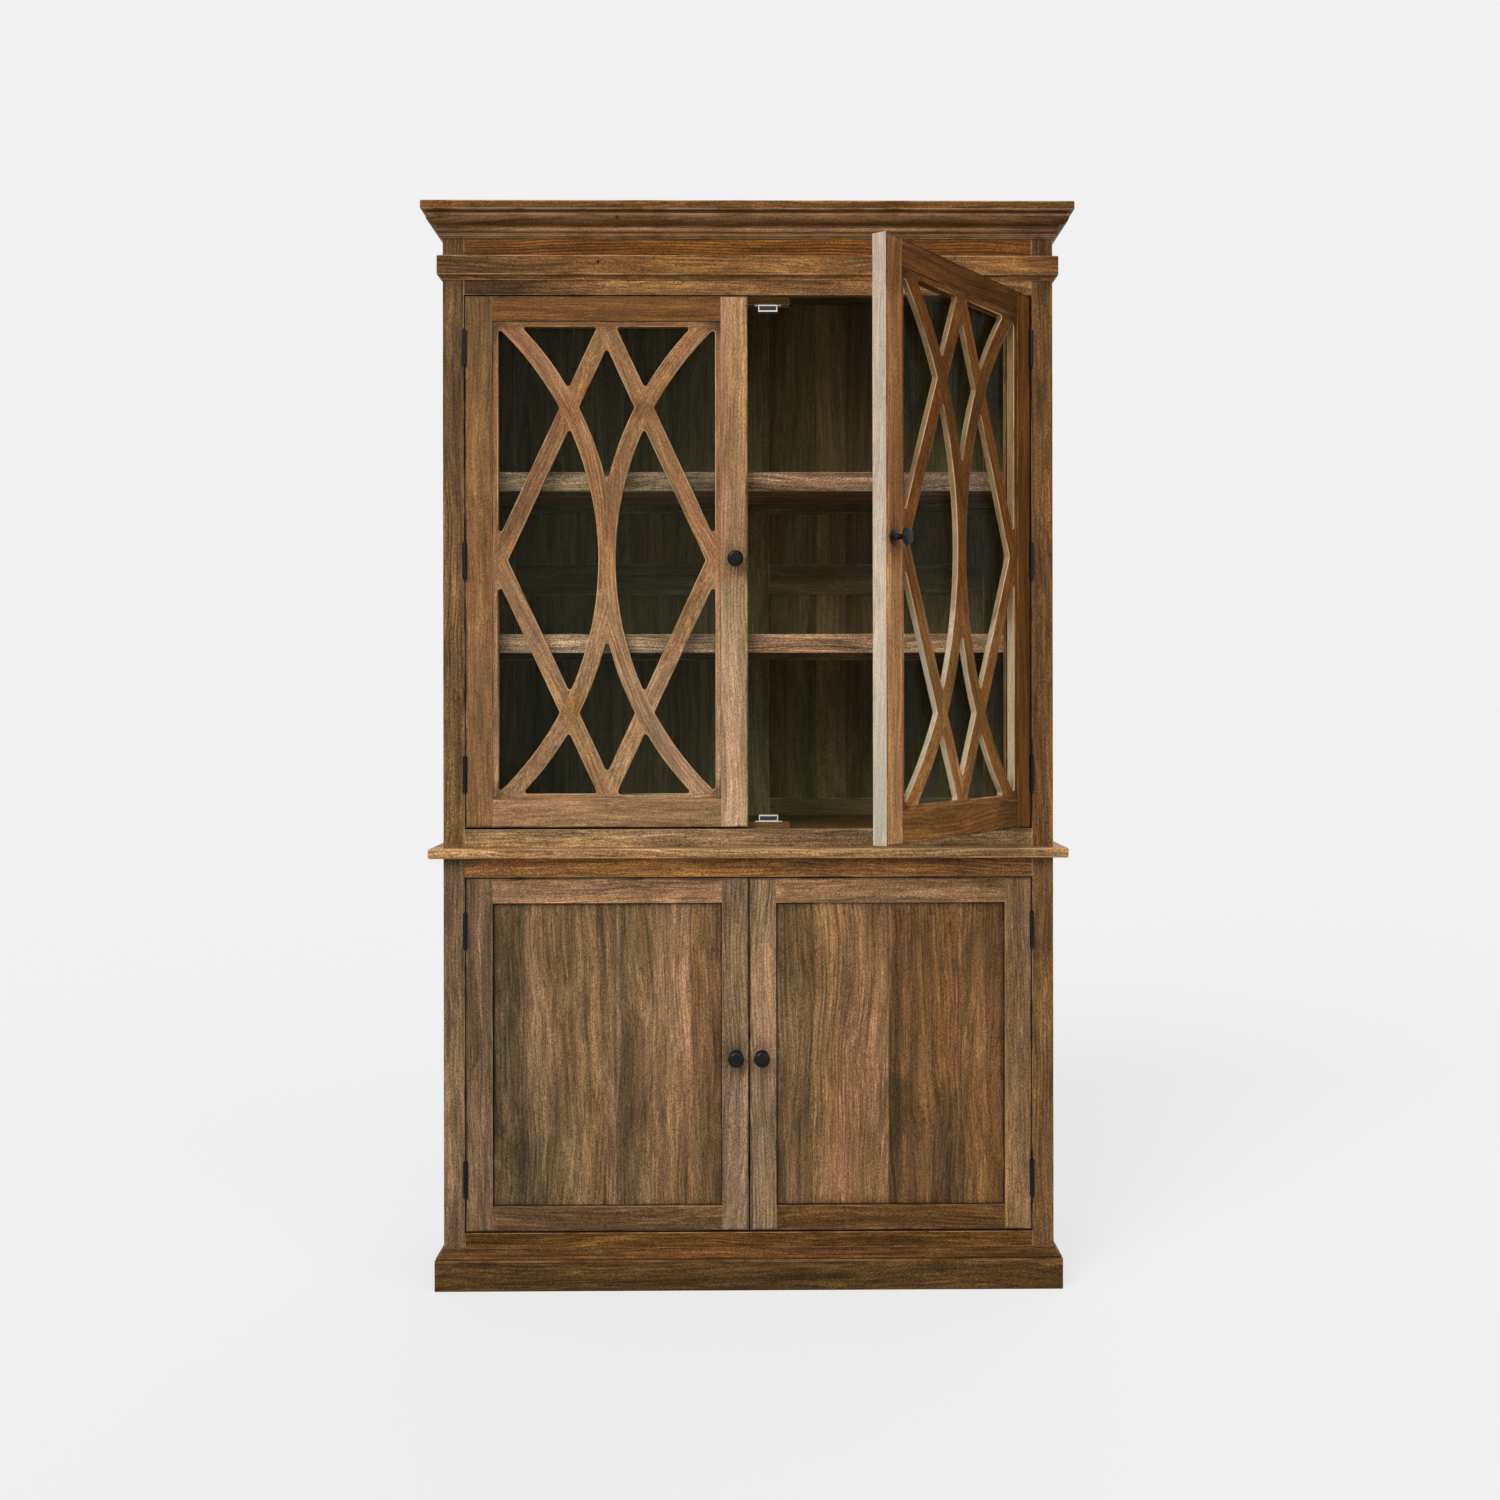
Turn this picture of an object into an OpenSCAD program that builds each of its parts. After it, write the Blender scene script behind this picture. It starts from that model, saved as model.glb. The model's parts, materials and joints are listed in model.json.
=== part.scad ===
// Two-part display cabinet: a cupboard with panelled doors under a glazed case with lattice doors.
// The origin is on the floor at the middle of the case. X is to the right, Y to the back, Z up.

/* [Case] */
// Width over the side panels
case_w = 1296; // [1200:1:1400]
// Depth from the face of the frame to the back
case_d = 450; // [400:1:500]
// Thickness of the side panels
side_t = 20; // [16:1:24]
// Thickness of the face frame
frame_t = 24; // [20:1:28]
// Width of the face frame's stiles
stile_w = 45; // [40:1:60]
// Thickness of the floors and the ceiling
board_t = 18; // [15:1:22]

/* [Base] */
// Height of the plinth boards
plinth_h = 62; // [50:1:90]
// How far the plinth stands out from the case
plinth_out = 17; // [15:1:30]
// Thickness of the plinth boards
plinth_t = 24; // [22:1:32]
// Height of the moulding on the plinth
cap_h = 26; // [22:1:34]
// Height of the bottom rail that shows above the moulding
low_rail_show = 30; // [20:1:50]
// Height of the lower door opening
low_opening_h = 755; // [650:1:850]
// Height of the rail above the lower doors
low_head_h = 42; // [36:1:60]
// Thickness of the waist slab
slab_t = 21; // [18:1:30]
// How far the waist slab stands out from the case
slab_out = 28; // [20:1:40]

/* [Upper case] */
// Height of the rail under the glazed doors
foot_rail_h = 39; // [30:1:60]
// Height of the upper door opening
up_opening_h = 1135; // [1050:1:1250]
// Height of the head rail that shows under the neck moulding
head_show = 31; // [20:1:50]
// Height of the cove under the neck moulding
neck_cove_h = 11; // [8:1:16]
// Height of the flat band of the neck moulding
neck_band_h = 40; // [30:1:50]
// How far the neck moulding stands out
neck_out = 11; // [9:1:16]
// Height of the frieze between the neck and the crown
frieze_show = 37; // [25:1:60]
// Height of the crown moulding
crown_h = 51; // [48:1:60]
// Thickness of the top slab
top_t = 20; // [16:1:26]
// How far the top slab stands out
top_out = 40; // [38:1:50]
// Height of the ceiling above the door opening
ceiling_rise = 81; // [60:1:110]

/* [Shelves] */
// Thickness of the shelf boards
shelf_t = 22; // [18:1:28]
// Height of the lip on a shelf's front edge
lip_h = 40; // [32:1:50]
// Thickness of the lip
lip_t = 20; // [16:1:26]
// How far the lips lie behind the face of the frame
shelf_setback = 40; // [36:1:80]
// Top of the middle shelf above the floor of the upper case
middle_rise = 416; // [300:1:480]
// Top of the upper shelf above the floor of the upper case
upper_rise = 764; // [620:1:850]
// Top of the cupboard shelf above the cupboard's floor
low_shelf_rise = 370; // [250:1:450]
// Height of the cleats
cleat_h = 24; // [18:1:30]
// Thickness of the cleats
cleat_t = 20; // [15:1:25]

/* [Back] */
// Thickness of the back frame
back_t = 20; // [16:1:24]
// Width of the back frame's outer stiles
back_stile_w = 70; // [50:1:100]
// Width of the muntin in the middle of the back
muntin_w = 94; // [70:1:120]
// Width of the back frame's top and bottom rails
back_rail_w = 80; // [60:1:110]
// Width of the back frame's middle rail
back_mid_w = 73; // [50:1:100]
// Bottom of the middle rail above the floor of the upper case
back_mid_rise = 526; // [450:1:600]
// Thickness of the back panels
back_panel_t = 7; // [5:1:8]
// Thickness of the cupboard's back
low_back_t = 12; // [8:1:18]

/* [Doors] */
// Gap between a door and the stile that it hangs on
door_gap = 2.5; // [2:0.1:3]
// Gap between two doors
meet_gap = 3; // [2:0.1:5]
// Gap above a door
head_gap = 3; // [2:0.1:5]
// Gap below a door
foot_gap = 4.5; // [2:0.1:6]
// Thickness of the glazed doors
up_door_t = 30; // [28:1:34]
// Width of a glazed door's stiles
up_stile_w = 57; // [50:1:70]
// Width of a glazed door's top rail
up_head_w = 52; // [46:1:70]
// Width of a glazed door's bottom rail
up_foot_w = 59; // [50:1:80]
// Thickness of the panelled doors
low_door_t = 24; // [22:1:28]
// Width of a panelled door's stiles
low_stile_w = 56; // [50:1:70]
// Width of a panelled door's rails
low_rail_w = 52; // [46:1:70]
// Thickness of the door panels
panel_t = 8; // [6:1:9]
// Depth of a panel behind the face of its frame
panel_recess = 8; // [6:1:9]
// Depth of the grooves that hold the panels
groove = 8; // [6:1:9]
// Thickness of the tenons
tenon_t = 8; // [6:1:9]
// Length of the tenons
tenon_l = 25; // [18:1:35]
// Opening angle of the upper right door
open_angle = 55; // [0:1:110]

/* [Lattice] */
// Thickness of the strip round the lattice
lattice_t = 17; // [14:1:18]
// Thickness of the lattice bars, which stand clear of the glass
bar_t = 12; // [9:1:14]
// Depth of the lattice behind the face of the door
lattice_recess = 3; // [2:1:6]
// Width of the strip round the lattice
lattice_border = 12; // [10:1:20]
// Width of the lattice bars
bar_w = 36.5; // [28:0.5:40]
// Radius of the two curved bars
arc_r = 700; // [650:10:900]
// Radius of the rounded notches
notch_r = 5; // [3:0.5:7]
// Thickness of the glass
glass_t = 4; // [3:0.5:4]
// Width of the glazing beads
bead_w = 10; // [8:1:14]

/* [Hinges] */
// Height of a butt hinge
hinge_h = 76; // [64:1:89]
// Distance from a door's end to the middle of its end hinge
hinge_end = 110; // [80:1:160]
// Distance from a glazed door's foot to the middle of its foot hinge
up_foot_hinge = 113; // [80:1:160]
// Radius of the knuckles
knuckle_r = 4.7; // [4.2:0.1:5]
// Distance of the hinge axis in front of the face
hinge_out = 3; // [2.8:0.1:3.6]
// Radius of the hinge pin
pin_r = 1.6; // [1.4:0.1:2]
// Thickness of the hinge leaves
leaf_t = 1.8; // [1.5:0.1:2.2]
// Depth of the leaves from the face of the frame
leaf_w = 20; // [16:1:22]

/* [Knobs] */
// Diameter of a knob's head
knob_d = 33.5; // [28:0.5:38]
// Diameter of the rosette at a knob's foot
rosette_d = 29; // [26:0.5:32]
// Diameter of a knob's neck
neck_d = 10; // [9:0.5:12]
// How far a knob stands out from the door
knob_l = 35; // [31:1:42]
// Distance from a door's free edge to the middle of its knob
knob_inset = 26; // [22:1:34]
// Height of the glazed doors' knobs above the middle of the door
up_knob_rise = 5; // [-60:1:60]
// Height of the panelled doors' knobs below the middle of the door
low_knob_drop = 5; // [-60:1:60]
// Radius of the knob screw
screw_r = 2; // [1.5:0.1:2.5]

/* [Catches] */
// Width of the wooden catch blocks
block_w = 176; // [150:1:220]
// Height of a catch block clear of the rail or floor
block_h = 13; // [10:1:18]
// Depth of a catch block behind the door
block_d = 30; // [26:1:40]
// Distance from the middle of the case to the middle of a catch
catch_x = 42; // [34:1:50]
// Width of a catch's housing
catch_w = 41; // [32:1:46]
// Height of a catch's housing
catch_h = 15; // [12:1:18]
// Width of a catch over its ears
ears_w = 58; // [50:1:62]

/* [Hidden] */
// Named clearances
pin_clear = 0.05;
turn_clear = 0.3;
knuckle_gap = 0.4;
stop_clear = 0.5;
mitre_gap = 0.2;
glue_gap = 0.2;
panel_play = 2;
shelf_play = 0.5;
glass_play = 1;
screw_clear = 0.4;
thread_clear = 0.02;

// Planes and heights
face_y = -case_d / 2;
back_y = case_d / 2;
frame_back = face_y + frame_t;
inner_w = case_w - 2 * side_t;
open_w = case_w - 2 * stile_w;
z_cap_top = plinth_h + cap_h;
z_low_open = z_cap_top + low_rail_show;
z_low_head = z_low_open + low_opening_h;
z_slab = z_low_head + low_head_h;
z_up = z_slab + slab_t;
z_up_open = z_up + foot_rail_h;
z_up_head = z_up_open + up_opening_h;
z_neck = z_up_head + head_show;
z_band = z_neck + neck_cove_h;
z_frieze = z_band + neck_band_h;
z_crown = z_frieze + frieze_show;
z_top = z_crown + crown_h;
z_joint = z_band + neck_band_h / 2;
z_middle = z_up_open + middle_rise;
z_upper = z_up_open + upper_rise;
z_low_shelf = z_low_open + low_shelf_rise;

// Door limits, with the right-hand doors taken closed
door_x0 = meet_gap / 2;
door_x1 = open_w / 2 - door_gap;
up_z0 = z_up_open + foot_gap;
up_z1 = z_up_head - head_gap;
low_z0 = z_low_open + foot_gap;
low_z1 = z_low_head - head_gap;
hinge_x = open_w / 2 - door_gap / 2;
hinge_y = face_y - hinge_out;
knob_x = door_x0 + knob_inset;
up_knob_z = (up_z0 + up_z1) / 2 + up_knob_rise;
low_knob_z = (low_z0 + low_z1) / 2 - low_knob_drop;
up_hinge_z0 = up_z0 + up_foot_hinge;
up_hinge_z1 = up_z1 - hinge_end;
up_hinges = [up_hinge_z0, (up_hinge_z0 + up_hinge_z1) / 2, up_hinge_z1];
low_hinges = [low_z0 + hinge_end, low_z1 - hinge_end];

// Hole in a glazed door's frame, where the lattice, glass and beads lie
hole_x0 = door_x0 + up_stile_w;
hole_x1 = door_x1 - up_stile_w;
hole_z0 = up_z0 + up_foot_w;
hole_z1 = up_z1 - up_head_w;
lattice_y = face_y + lattice_recess;
glass_y = lattice_y + lattice_t;
bead_y = glass_y + glass_t;
up_back = face_y + up_door_t;
low_back = face_y + low_door_t;

// Hole in a panelled door's frame
pane_x0 = door_x0 + low_stile_w;
pane_x1 = door_x1 - low_stile_w;
pane_z0 = low_z0 + low_rail_w;
pane_z1 = low_z1 - low_rail_w;

// Sizes of small parts
knuckles = 5;
tenon_shoulder = 10;
slab_ease = 2;
bearer_w = 60;
strike_t = 1.5;
strike_w = 38;
strike_h = 12;
catch_d = 20;
ear_t = 1.5;
ear_hole_r = 1.8;
magnet_w = 24;
lip_block_w = 20;
lip_block_x = 386;
lip_block_show = 7;
block_grip = 30;
pin_head_r = 2.5;
pin_head_h = 2;
screw_head_r = 4.2;
screw_head_h = 2.6;
thread_l = 12;

// How far a cut runs past the face that it opens
cut = 1;
$fn = 48;
arc_fn = 180;
notch_fn = 24;

wood = [0.47, 0.33, 0.21];
wood_light = [0.55, 0.39, 0.26];
wood_dark = [0.36, 0.26, 0.17];
wood_inside = [0.24, 0.19, 0.14];
black_metal = [0.07, 0.07, 0.08];
nickel = [0.78, 0.77, 0.74];
clear_glass = [0.62, 0.68, 0.68, 0.35];

// A board between two corners
module board(x0, x1, y0, y1, z0, z1) {
    translate([x0, y0, z0])
        cube([x1 - x0, y1 - y0, z1 - z0]);
}

// The same piece on the left and on the right
module both_sides() {
    children();
    mirror([1, 0, 0])
        children();
}

// Points of an arc of an ellipse, from angle a0 to a1
function arc(cx, cy, rx, ry, a0, a1, n) =
    [for (i = [0:n]) let (a = a0 + (a1 - a0) * i / n) [cx + rx * cos(a), cy + ry * sin(a)]];

// A moulding's front length, mitred at both ends, from a profile of (outward, height)
module front_run(reach, inset, z0) {
    end_in = case_w / 2 - inset;
    end_out = case_w / 2 + reach;
    intersection() {
        translate([0, face_y, z0])
            mirror([0, 1, 0])
                rotate([90, 0, 90])
                    linear_extrude(height = 2 * end_out, center = true)
                        children();
        linear_extrude(height = z_top + top_t)
            polygon([[-end_out, face_y - reach], [end_out, face_y - reach],
                     [end_in, face_y + inset], [-end_in, face_y + inset]]);
    }
}

// A moulding's right-hand return, mitred at the front and square at the back
module side_return(reach, inset, z0) {
    end_in = case_w / 2 - inset;
    end_out = case_w / 2 + reach;
    intersection() {
        translate([case_w / 2, back_y, z0])
            rotate([90, 0, 0])
                linear_extrude(height = case_d + reach)
                    children();
        linear_extrude(height = z_top + top_t)
            polygon([[end_in, face_y + inset + mitre_gap], [end_out, face_y - reach + mitre_gap],
                     [end_out, back_y], [end_in, back_y]]);
    }
}

// A moulding round the front and both sides of the case
module case_moulding(reach, z0) {
    front_run(reach, 0, z0)
        children();
    both_sides()
        side_return(reach, 0, z0)
            children();
}

// A slab over the case with its front and side edges eased
module eased_slab(out, z0, t) {
    y0 = face_y - out;
    x1 = case_w / 2 + out;
    ease = slab_ease;
    intersection() {
        translate([0, 0, z0])
            rotate([90, 0, 90])
                linear_extrude(height = 2 * x1, center = true)
                    polygon([[y0, ease], [y0 + ease, 0], [back_y, 0],
                             [back_y, t], [y0 + ease, t], [y0, t - ease]]);
        translate([0, back_y, z0])
            rotate([90, 0, 0])
                linear_extrude(height = case_d + out)
                    polygon([[-x1 + ease, 0], [x1 - ease, 0], [x1, ease], [x1, t - ease],
                             [x1 - ease, t], [-x1 + ease, t], [-x1, t - ease], [-x1, ease]]);
    }
}

// Turns a right-hand door about its hinge axis, and mirrors it for the left
module hung(side, angle) {
    if (side > 0)
        swing(angle)
            children();
    else
        mirror([1, 0, 0])
            swing(angle)
                children();
}

module swing(angle) {
    translate([hinge_x, hinge_y, 0])
        rotate([0, 0, angle])
            translate([-hinge_x, -hinge_y, 0])
                children();
}

// Profiles of the mouldings, in millimetres outward and up
module plinth_board_profile() {
    translate([plinth_out - plinth_t, 0])
        square([plinth_t, plinth_h]);
}

// Fillet, bead and cove, with a thin fillet against the case
module cap_profile() {
    fillet = 3;
    bead_r = 4;
    bead_x = plinth_out - 6.5;
    bead_z = fillet + bead_r;
    cove_x = plinth_out - 8;
    cove_z = bead_z + bead_r + 1;
    cove_top = cap_h - fillet;
    polygon(concat(
        [[0, 0], [plinth_out, 0], [plinth_out, fillet], [bead_x + bead_r, fillet]],
        arc(bead_x, bead_z, bead_r, bead_r, -80, 90, 8),
        arc(cove_x, cove_top, cove_x - fillet, cove_top - cove_z, 270, 180, 8),
        [[fillet, cap_h], [0, cap_h]]));
}

// Cove under a flat band with an eased top
module neck_profile() {
    ease = 1.5;
    foot = 2;
    step = 1;
    cove_x = neck_out - step;
    cove_h = neck_cove_h - 2 * step;
    h = neck_cove_h + neck_band_h;
    polygon(concat(
        [[0, 0]],
        arc(cove_x, 0, cove_x - foot, cove_h, 180, 90, 6),
        [[cove_x, cove_h + step], [neck_out, neck_cove_h],
         [neck_out, h - ease], [neck_out - ease, h], [0, h]]));
}

// Fillets, a bead and an ovolo under a quirk, from the frieze up to the top slab
module crown_profile() {
    low_fillet = [3, 4];
    high_fillet = [7, 9];
    low_quirk = [4.5, 11.5];
    bead_r = 6;
    bead_x = 8;
    bead_z = 17;
    step_x = 10;
    step_z = 24;
    ovolo_w = 14;
    ovolo_x = top_out - 9;
    ovolo_foot = 26;
    ovolo_top = crown_h - 9;
    edge_fillet = 2;
    quirk = 1;
    quirk_z = crown_h - 6;
    polygon(concat(
        [[0, 0], [low_fillet[0], 0], low_fillet, [high_fillet[0], low_fillet[1]], high_fillet,
         [low_quirk[0], high_fillet[1]], low_quirk],
        arc(bead_x, bead_z, bead_r, bead_r, -65, 65, 8),
        [[step_x, step_z]],
        arc(ovolo_x - ovolo_w, ovolo_top, ovolo_w, ovolo_top - ovolo_foot, -90, 0, 8),
        [[ovolo_x + edge_fillet, ovolo_top], [ovolo_x + edge_fillet, quirk_z],
         [ovolo_x - quirk, quirk_z], [ovolo_x - quirk, crown_h], [0, crown_h]]));
}

// Base
module plinth_front() {
    color(wood_dark)
        front_run(plinth_out, plinth_t - plinth_out, 0)
            plinth_board_profile();
}

module plinth_returns() {
    color(wood_dark)
        both_sides()
            side_return(plinth_out, plinth_t - plinth_out, 0)
                plinth_board_profile();
}

// Three bearers from front to back, and a rail along the back between them
module plinth_bearers() {
    y0 = face_y + plinth_t - plinth_out + glue_gap;
    edge = case_w / 2 + plinth_out - plinth_t - glue_gap;
    rail_y = back_y - plinth_t;
    color(wood_dark) {
        board(-bearer_w / 2, bearer_w / 2, y0, back_y, 0, plinth_h);
        both_sides() {
            board(edge - bearer_w, edge, y0, back_y, 0, plinth_h);
            board(bearer_w / 2 + glue_gap, edge - bearer_w - glue_gap, rail_y, back_y, 0, plinth_h);
        }
    }
}

module plinth_cap() {
    color(wood_dark)
        case_moulding(plinth_out, plinth_h)
            cap_profile();
}

module lower_sides() {
    color(wood)
        both_sides()
            board(inner_w / 2, case_w / 2, frame_back, back_y, plinth_h, z_slab);
}

module lower_bottom_board() {
    color(wood_inside)
        board(-inner_w / 2, inner_w / 2, frame_back, back_y - low_back_t,
              z_low_open - board_t, z_low_open);
}

module lower_back_panel() {
    color(wood_inside)
        board(-inner_w / 2, inner_w / 2, back_y - low_back_t, back_y, plinth_h, z_slab);
}

module lower_stiles() {
    color(wood)
        both_sides()
            hinge_stile(plinth_h, z_slab, low_hinges);
}

module lower_rails() {
    color(wood) {
        board(-open_w / 2, open_w / 2, face_y, frame_back, plinth_h, z_low_open);
        board(-open_w / 2, open_w / 2, face_y, frame_back, z_low_head, z_slab);
    }
}

module lower_shelf() {
    color(wood_inside)
        board(-inner_w / 2 + shelf_play, inner_w / 2 - shelf_play, face_y + shelf_setback,
              back_y - low_back_t, z_low_shelf - shelf_t, z_low_shelf);
}

module waist_slab() {
    color(wood)
        eased_slab(slab_out, z_slab, slab_t);
}

// Face frame stile on the right, let in for its hinge leaves and knuckles
module hinge_stile(z0, z1, hinges) {
    difference() {
        board(open_w / 2, case_w / 2, face_y, frame_back, z0, z1);
        for (z = hinges) {
            board(open_w / 2 - cut, open_w / 2 + leaf_t, face_y - cut, face_y + leaf_w,
                  z - hinge_h / 2, z + hinge_h / 2);
            knuckle_relief(z);
        }
    }
}

// Round relief for the knuckles in the corners of the stiles
module knuckle_relief(z) {
    translate([hinge_x, hinge_y, z])
        cylinder(r = knuckle_r + turn_clear, h = hinge_h + 2 * turn_clear, center = true);
}

// Upper case
module upper_sides() {
    color(wood)
        both_sides()
            board(inner_w / 2, case_w / 2, frame_back, back_y, z_up, z_top);
}

module upper_bottom_board() {
    color(wood_inside)
        board(-inner_w / 2, inner_w / 2, frame_back, back_y - back_t, z_up_open - board_t, z_up_open);
}

module upper_top_board() {
    z0 = z_up_head + ceiling_rise;
    color(wood_inside)
        board(-inner_w / 2, inner_w / 2, frame_back, back_y - back_t, z0, z0 + board_t);
}

// The four panels of the back, grown by a margin on every side for grooves and tongues
module back_fields(margin, play) {
    x0 = muntin_w / 2;
    x1 = inner_w / 2 - back_stile_w;
    y0 = back_y - (back_t + back_panel_t) / 2;
    grow = margin - play;
    z_mid = z_up_open + back_mid_rise;
    both_sides() {
        board(x0 - grow, x1 + grow, y0, y0 + back_panel_t,
              z_up + back_rail_w - grow, z_mid + grow);
        board(x0 - grow, x1 + grow, y0, y0 + back_panel_t,
              z_mid + back_mid_w - grow, z_top - back_rail_w + grow);
    }
}

module back_stiles() {
    color(wood_inside)
        difference() {
            union() {
                board(-muntin_w / 2, muntin_w / 2, back_y - back_t, back_y, z_up, z_top);
                both_sides()
                    board(inner_w / 2 - back_stile_w, inner_w / 2, back_y - back_t, back_y, z_up, z_top);
            }
            back_fields(groove, 0);
        }
}

module back_rails() {
    z_mid = z_up_open + back_mid_rise;
    color(wood_inside)
        difference() {
            for (z = [[z_up, z_up + back_rail_w], [z_mid, z_mid + back_mid_w],
                      [z_top - back_rail_w, z_top]])
                both_sides()
                    board(muntin_w / 2, inner_w / 2 - back_stile_w, back_y - back_t, back_y, z[0], z[1]);
            back_fields(groove, 0);
        }
}

module back_panels() {
    color(wood_inside)
        back_fields(groove, panel_play);
}

module upper_stiles() {
    color(wood)
        both_sides()
            hinge_stile(z_up, z_top, up_hinges);
}

module upper_rails() {
    color(wood) {
        board(-open_w / 2, open_w / 2, face_y, frame_back, z_up, z_up_open);
        board(-open_w / 2, open_w / 2, face_y, frame_back, z_up_head, z_joint);
    }
}

module frieze_board() {
    color(wood)
        board(-open_w / 2, open_w / 2, face_y, frame_back, z_joint, z_top);
}

// A shelf board with a deeper lip glued along its front edge
module lipped_shelf(z) {
    x1 = inner_w / 2 - shelf_play;
    y0 = face_y + shelf_setback;
    board(-x1, x1, y0, y0 + lip_t, z - lip_h, z);
    board(-x1, x1, y0 + lip_t + glue_gap, back_y - back_t, z - shelf_t, z);
}

module middle_shelf() {
    color(wood)
        lipped_shelf(z_middle);
}

module upper_shelf() {
    color(wood)
        lipped_shelf(z_upper);
}

// Cleats under a shelf: one on each side and one along the back
module cleat_set(z, y0, y1) {
    x1 = inner_w / 2;
    both_sides()
        board(x1 - cleat_t, x1, y0, y1, z - cleat_h, z);
    board(-x1 + cleat_t + glue_gap, x1 - cleat_t - glue_gap, y1 - cleat_t, y1, z - cleat_h, z);
}

module shelf_cleats() {
    y0 = face_y + shelf_setback + lip_t + glue_gap;
    y1 = back_y - back_t;
    block_z = z_upper - shelf_t;
    color(wood_inside) {
        cleat_set(z_middle - shelf_t, y0, y1);
        cleat_set(z_upper - shelf_t, y0, y1);
        cleat_set(z_low_shelf - shelf_t, y0, back_y - low_back_t);
        both_sides()
            board(lip_block_x - lip_block_w / 2, lip_block_x + lip_block_w / 2,
                  y0, y0 + lip_block_w, z_upper - lip_h - lip_block_show, block_z);
    }
}

module neck_moulding() {
    color(wood)
        case_moulding(neck_out, z_neck)
            neck_profile();
}

module crown_moulding() {
    color(wood_dark)
        case_moulding(top_out, z_crown)
            crown_profile();
}

module cornice_top() {
    color(wood)
        eased_slab(top_out, z_top, top_t);
}

// Catches and their blocks. A head block is glued to the back of its rail and clears the door.
module head_block(z, door_t) {
    stop_y = max(frame_back, face_y + door_t + stop_clear);
    difference() {
        board(-block_w / 2, block_w / 2, frame_back, stop_y + block_d, z - block_h, z + block_grip);
        board(-block_w / 2 - cut, block_w / 2 + cut, frame_back - cut, stop_y, z - block_h - cut, z);
    }
}

module catch_blocks() {
    y0 = up_back + stop_clear;
    color(wood) {
        head_block(z_up_head, up_door_t);
        head_block(z_low_head, low_door_t);
        board(-block_w / 2, block_w / 2, y0, y0 + block_d, z_up_open, z_up_open + block_h);
    }
}

// A catch standing on its ears, with the magnet between two keeper plates
module catch_body() {
    wall = 2;
    shell_t = 3;
    pocket_d = catch_d - 4;
    ear_inset = 2;
    magnet_inset = 1;
    magnet_z0 = shell_t + glue_gap;
    magnet_z1 = catch_h - shell_t - glue_gap;
    keeper_x = magnet_w / 2 + glue_gap;
    difference() {
        union() {
            board(-ears_w / 2, ears_w / 2, ear_inset, catch_d - ear_inset, 0, ear_t);
            board(-catch_w / 2, catch_w / 2, 0, catch_d, 0, catch_h);
        }
        board(-catch_w / 2 + wall, catch_w / 2 - wall, -cut, pocket_d, shell_t, catch_h - shell_t);
        both_sides()
            translate([(ears_w + catch_w) / 4, catch_d / 2, -cut])
                cylinder(r = ear_hole_r, h = catch_h);
    }
    board(-magnet_w / 2, magnet_w / 2, magnet_inset, pocket_d - glue_gap, magnet_z0, magnet_z1);
    both_sides()
        board(keeper_x, catch_w / 2 - wall - glue_gap, 0, pocket_d - glue_gap, magnet_z0, magnet_z1);
}

module catch_pair(y, z, up) {
    both_sides()
        translate([catch_x, y, z])
            mirror([0, 0, up ? 0 : 1])
                catch_body();
}

module magnetic_catches() {
    up_y = up_back + strike_t + turn_clear;
    low_y = low_back + strike_t + turn_clear;
    color(nickel) {
        catch_pair(up_y, z_up_head - block_h, false);
        catch_pair(up_y, z_up_open + block_h, true);
        catch_pair(low_y, z_low_head - block_h, false);
    }
}

// Steel strike plate on the back of a right-hand door, level with its catch
module strike(door_back, z) {
    board(catch_x - strike_w / 2, catch_x + strike_w / 2, door_back, door_back + strike_t,
          z - strike_h / 2, z + strike_h / 2);
}

// One knuckle with its bore, and the strap that joins it to its leaf
module knuckle(i, leaf_x0) {
    kh = (hinge_h - (knuckles - 1) * knuckle_gap) / knuckles;
    z0 = -hinge_h / 2 + i * (kh + knuckle_gap);
    translate([hinge_x, hinge_y, z0])
        cylinder(r = knuckle_r, h = kh);
    board(leaf_x0, leaf_x0 + leaf_t, hinge_y, hinge_y + knuckle_r + 2 * turn_clear, z0, z0 + kh);
}

// A hinge leaf with every second knuckle, let into the wood behind its flush face
module hinge_leaf(leaf_x0, first, z) {
    translate([0, 0, z])
        difference() {
            union() {
                board(leaf_x0, leaf_x0 + leaf_t, hinge_y + knuckle_r + turn_clear, face_y + leaf_w,
                      -hinge_h / 2, hinge_h / 2);
                for (i = [first:2:knuckles - 1])
                    knuckle(i, leaf_x0);
            }
            translate([hinge_x, hinge_y, 0])
                cylinder(r = pin_r + pin_clear, h = hinge_h + 2 * cut, center = true);
        }
}

module frame_leaves(hinges) {
    for (z = hinges)
        hinge_leaf(open_w / 2, 0, z);
}

module door_leaves(hinges) {
    for (z = hinges)
        hinge_leaf(door_x1 - leaf_t, 1, z);
}

module hinge_frame_leaves() {
    color(black_metal)
        both_sides() {
            frame_leaves(up_hinges);
            frame_leaves(low_hinges);
        }
}

// Pins with a button on each end
module hinge_pins() {
    color(black_metal)
        both_sides()
            for (z = concat(up_hinges, low_hinges))
                translate([hinge_x, hinge_y, z]) {
                    cylinder(r = pin_r, h = hinge_h + 2 * knuckle_gap, center = true);
                    both_ends()
                        translate([0, 0, hinge_h / 2 + knuckle_gap])
                            cylinder(r = pin_head_r, h = pin_head_h);
                }
}

module both_ends() {
    children();
    mirror([0, 0, 1])
        children();
}

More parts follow.
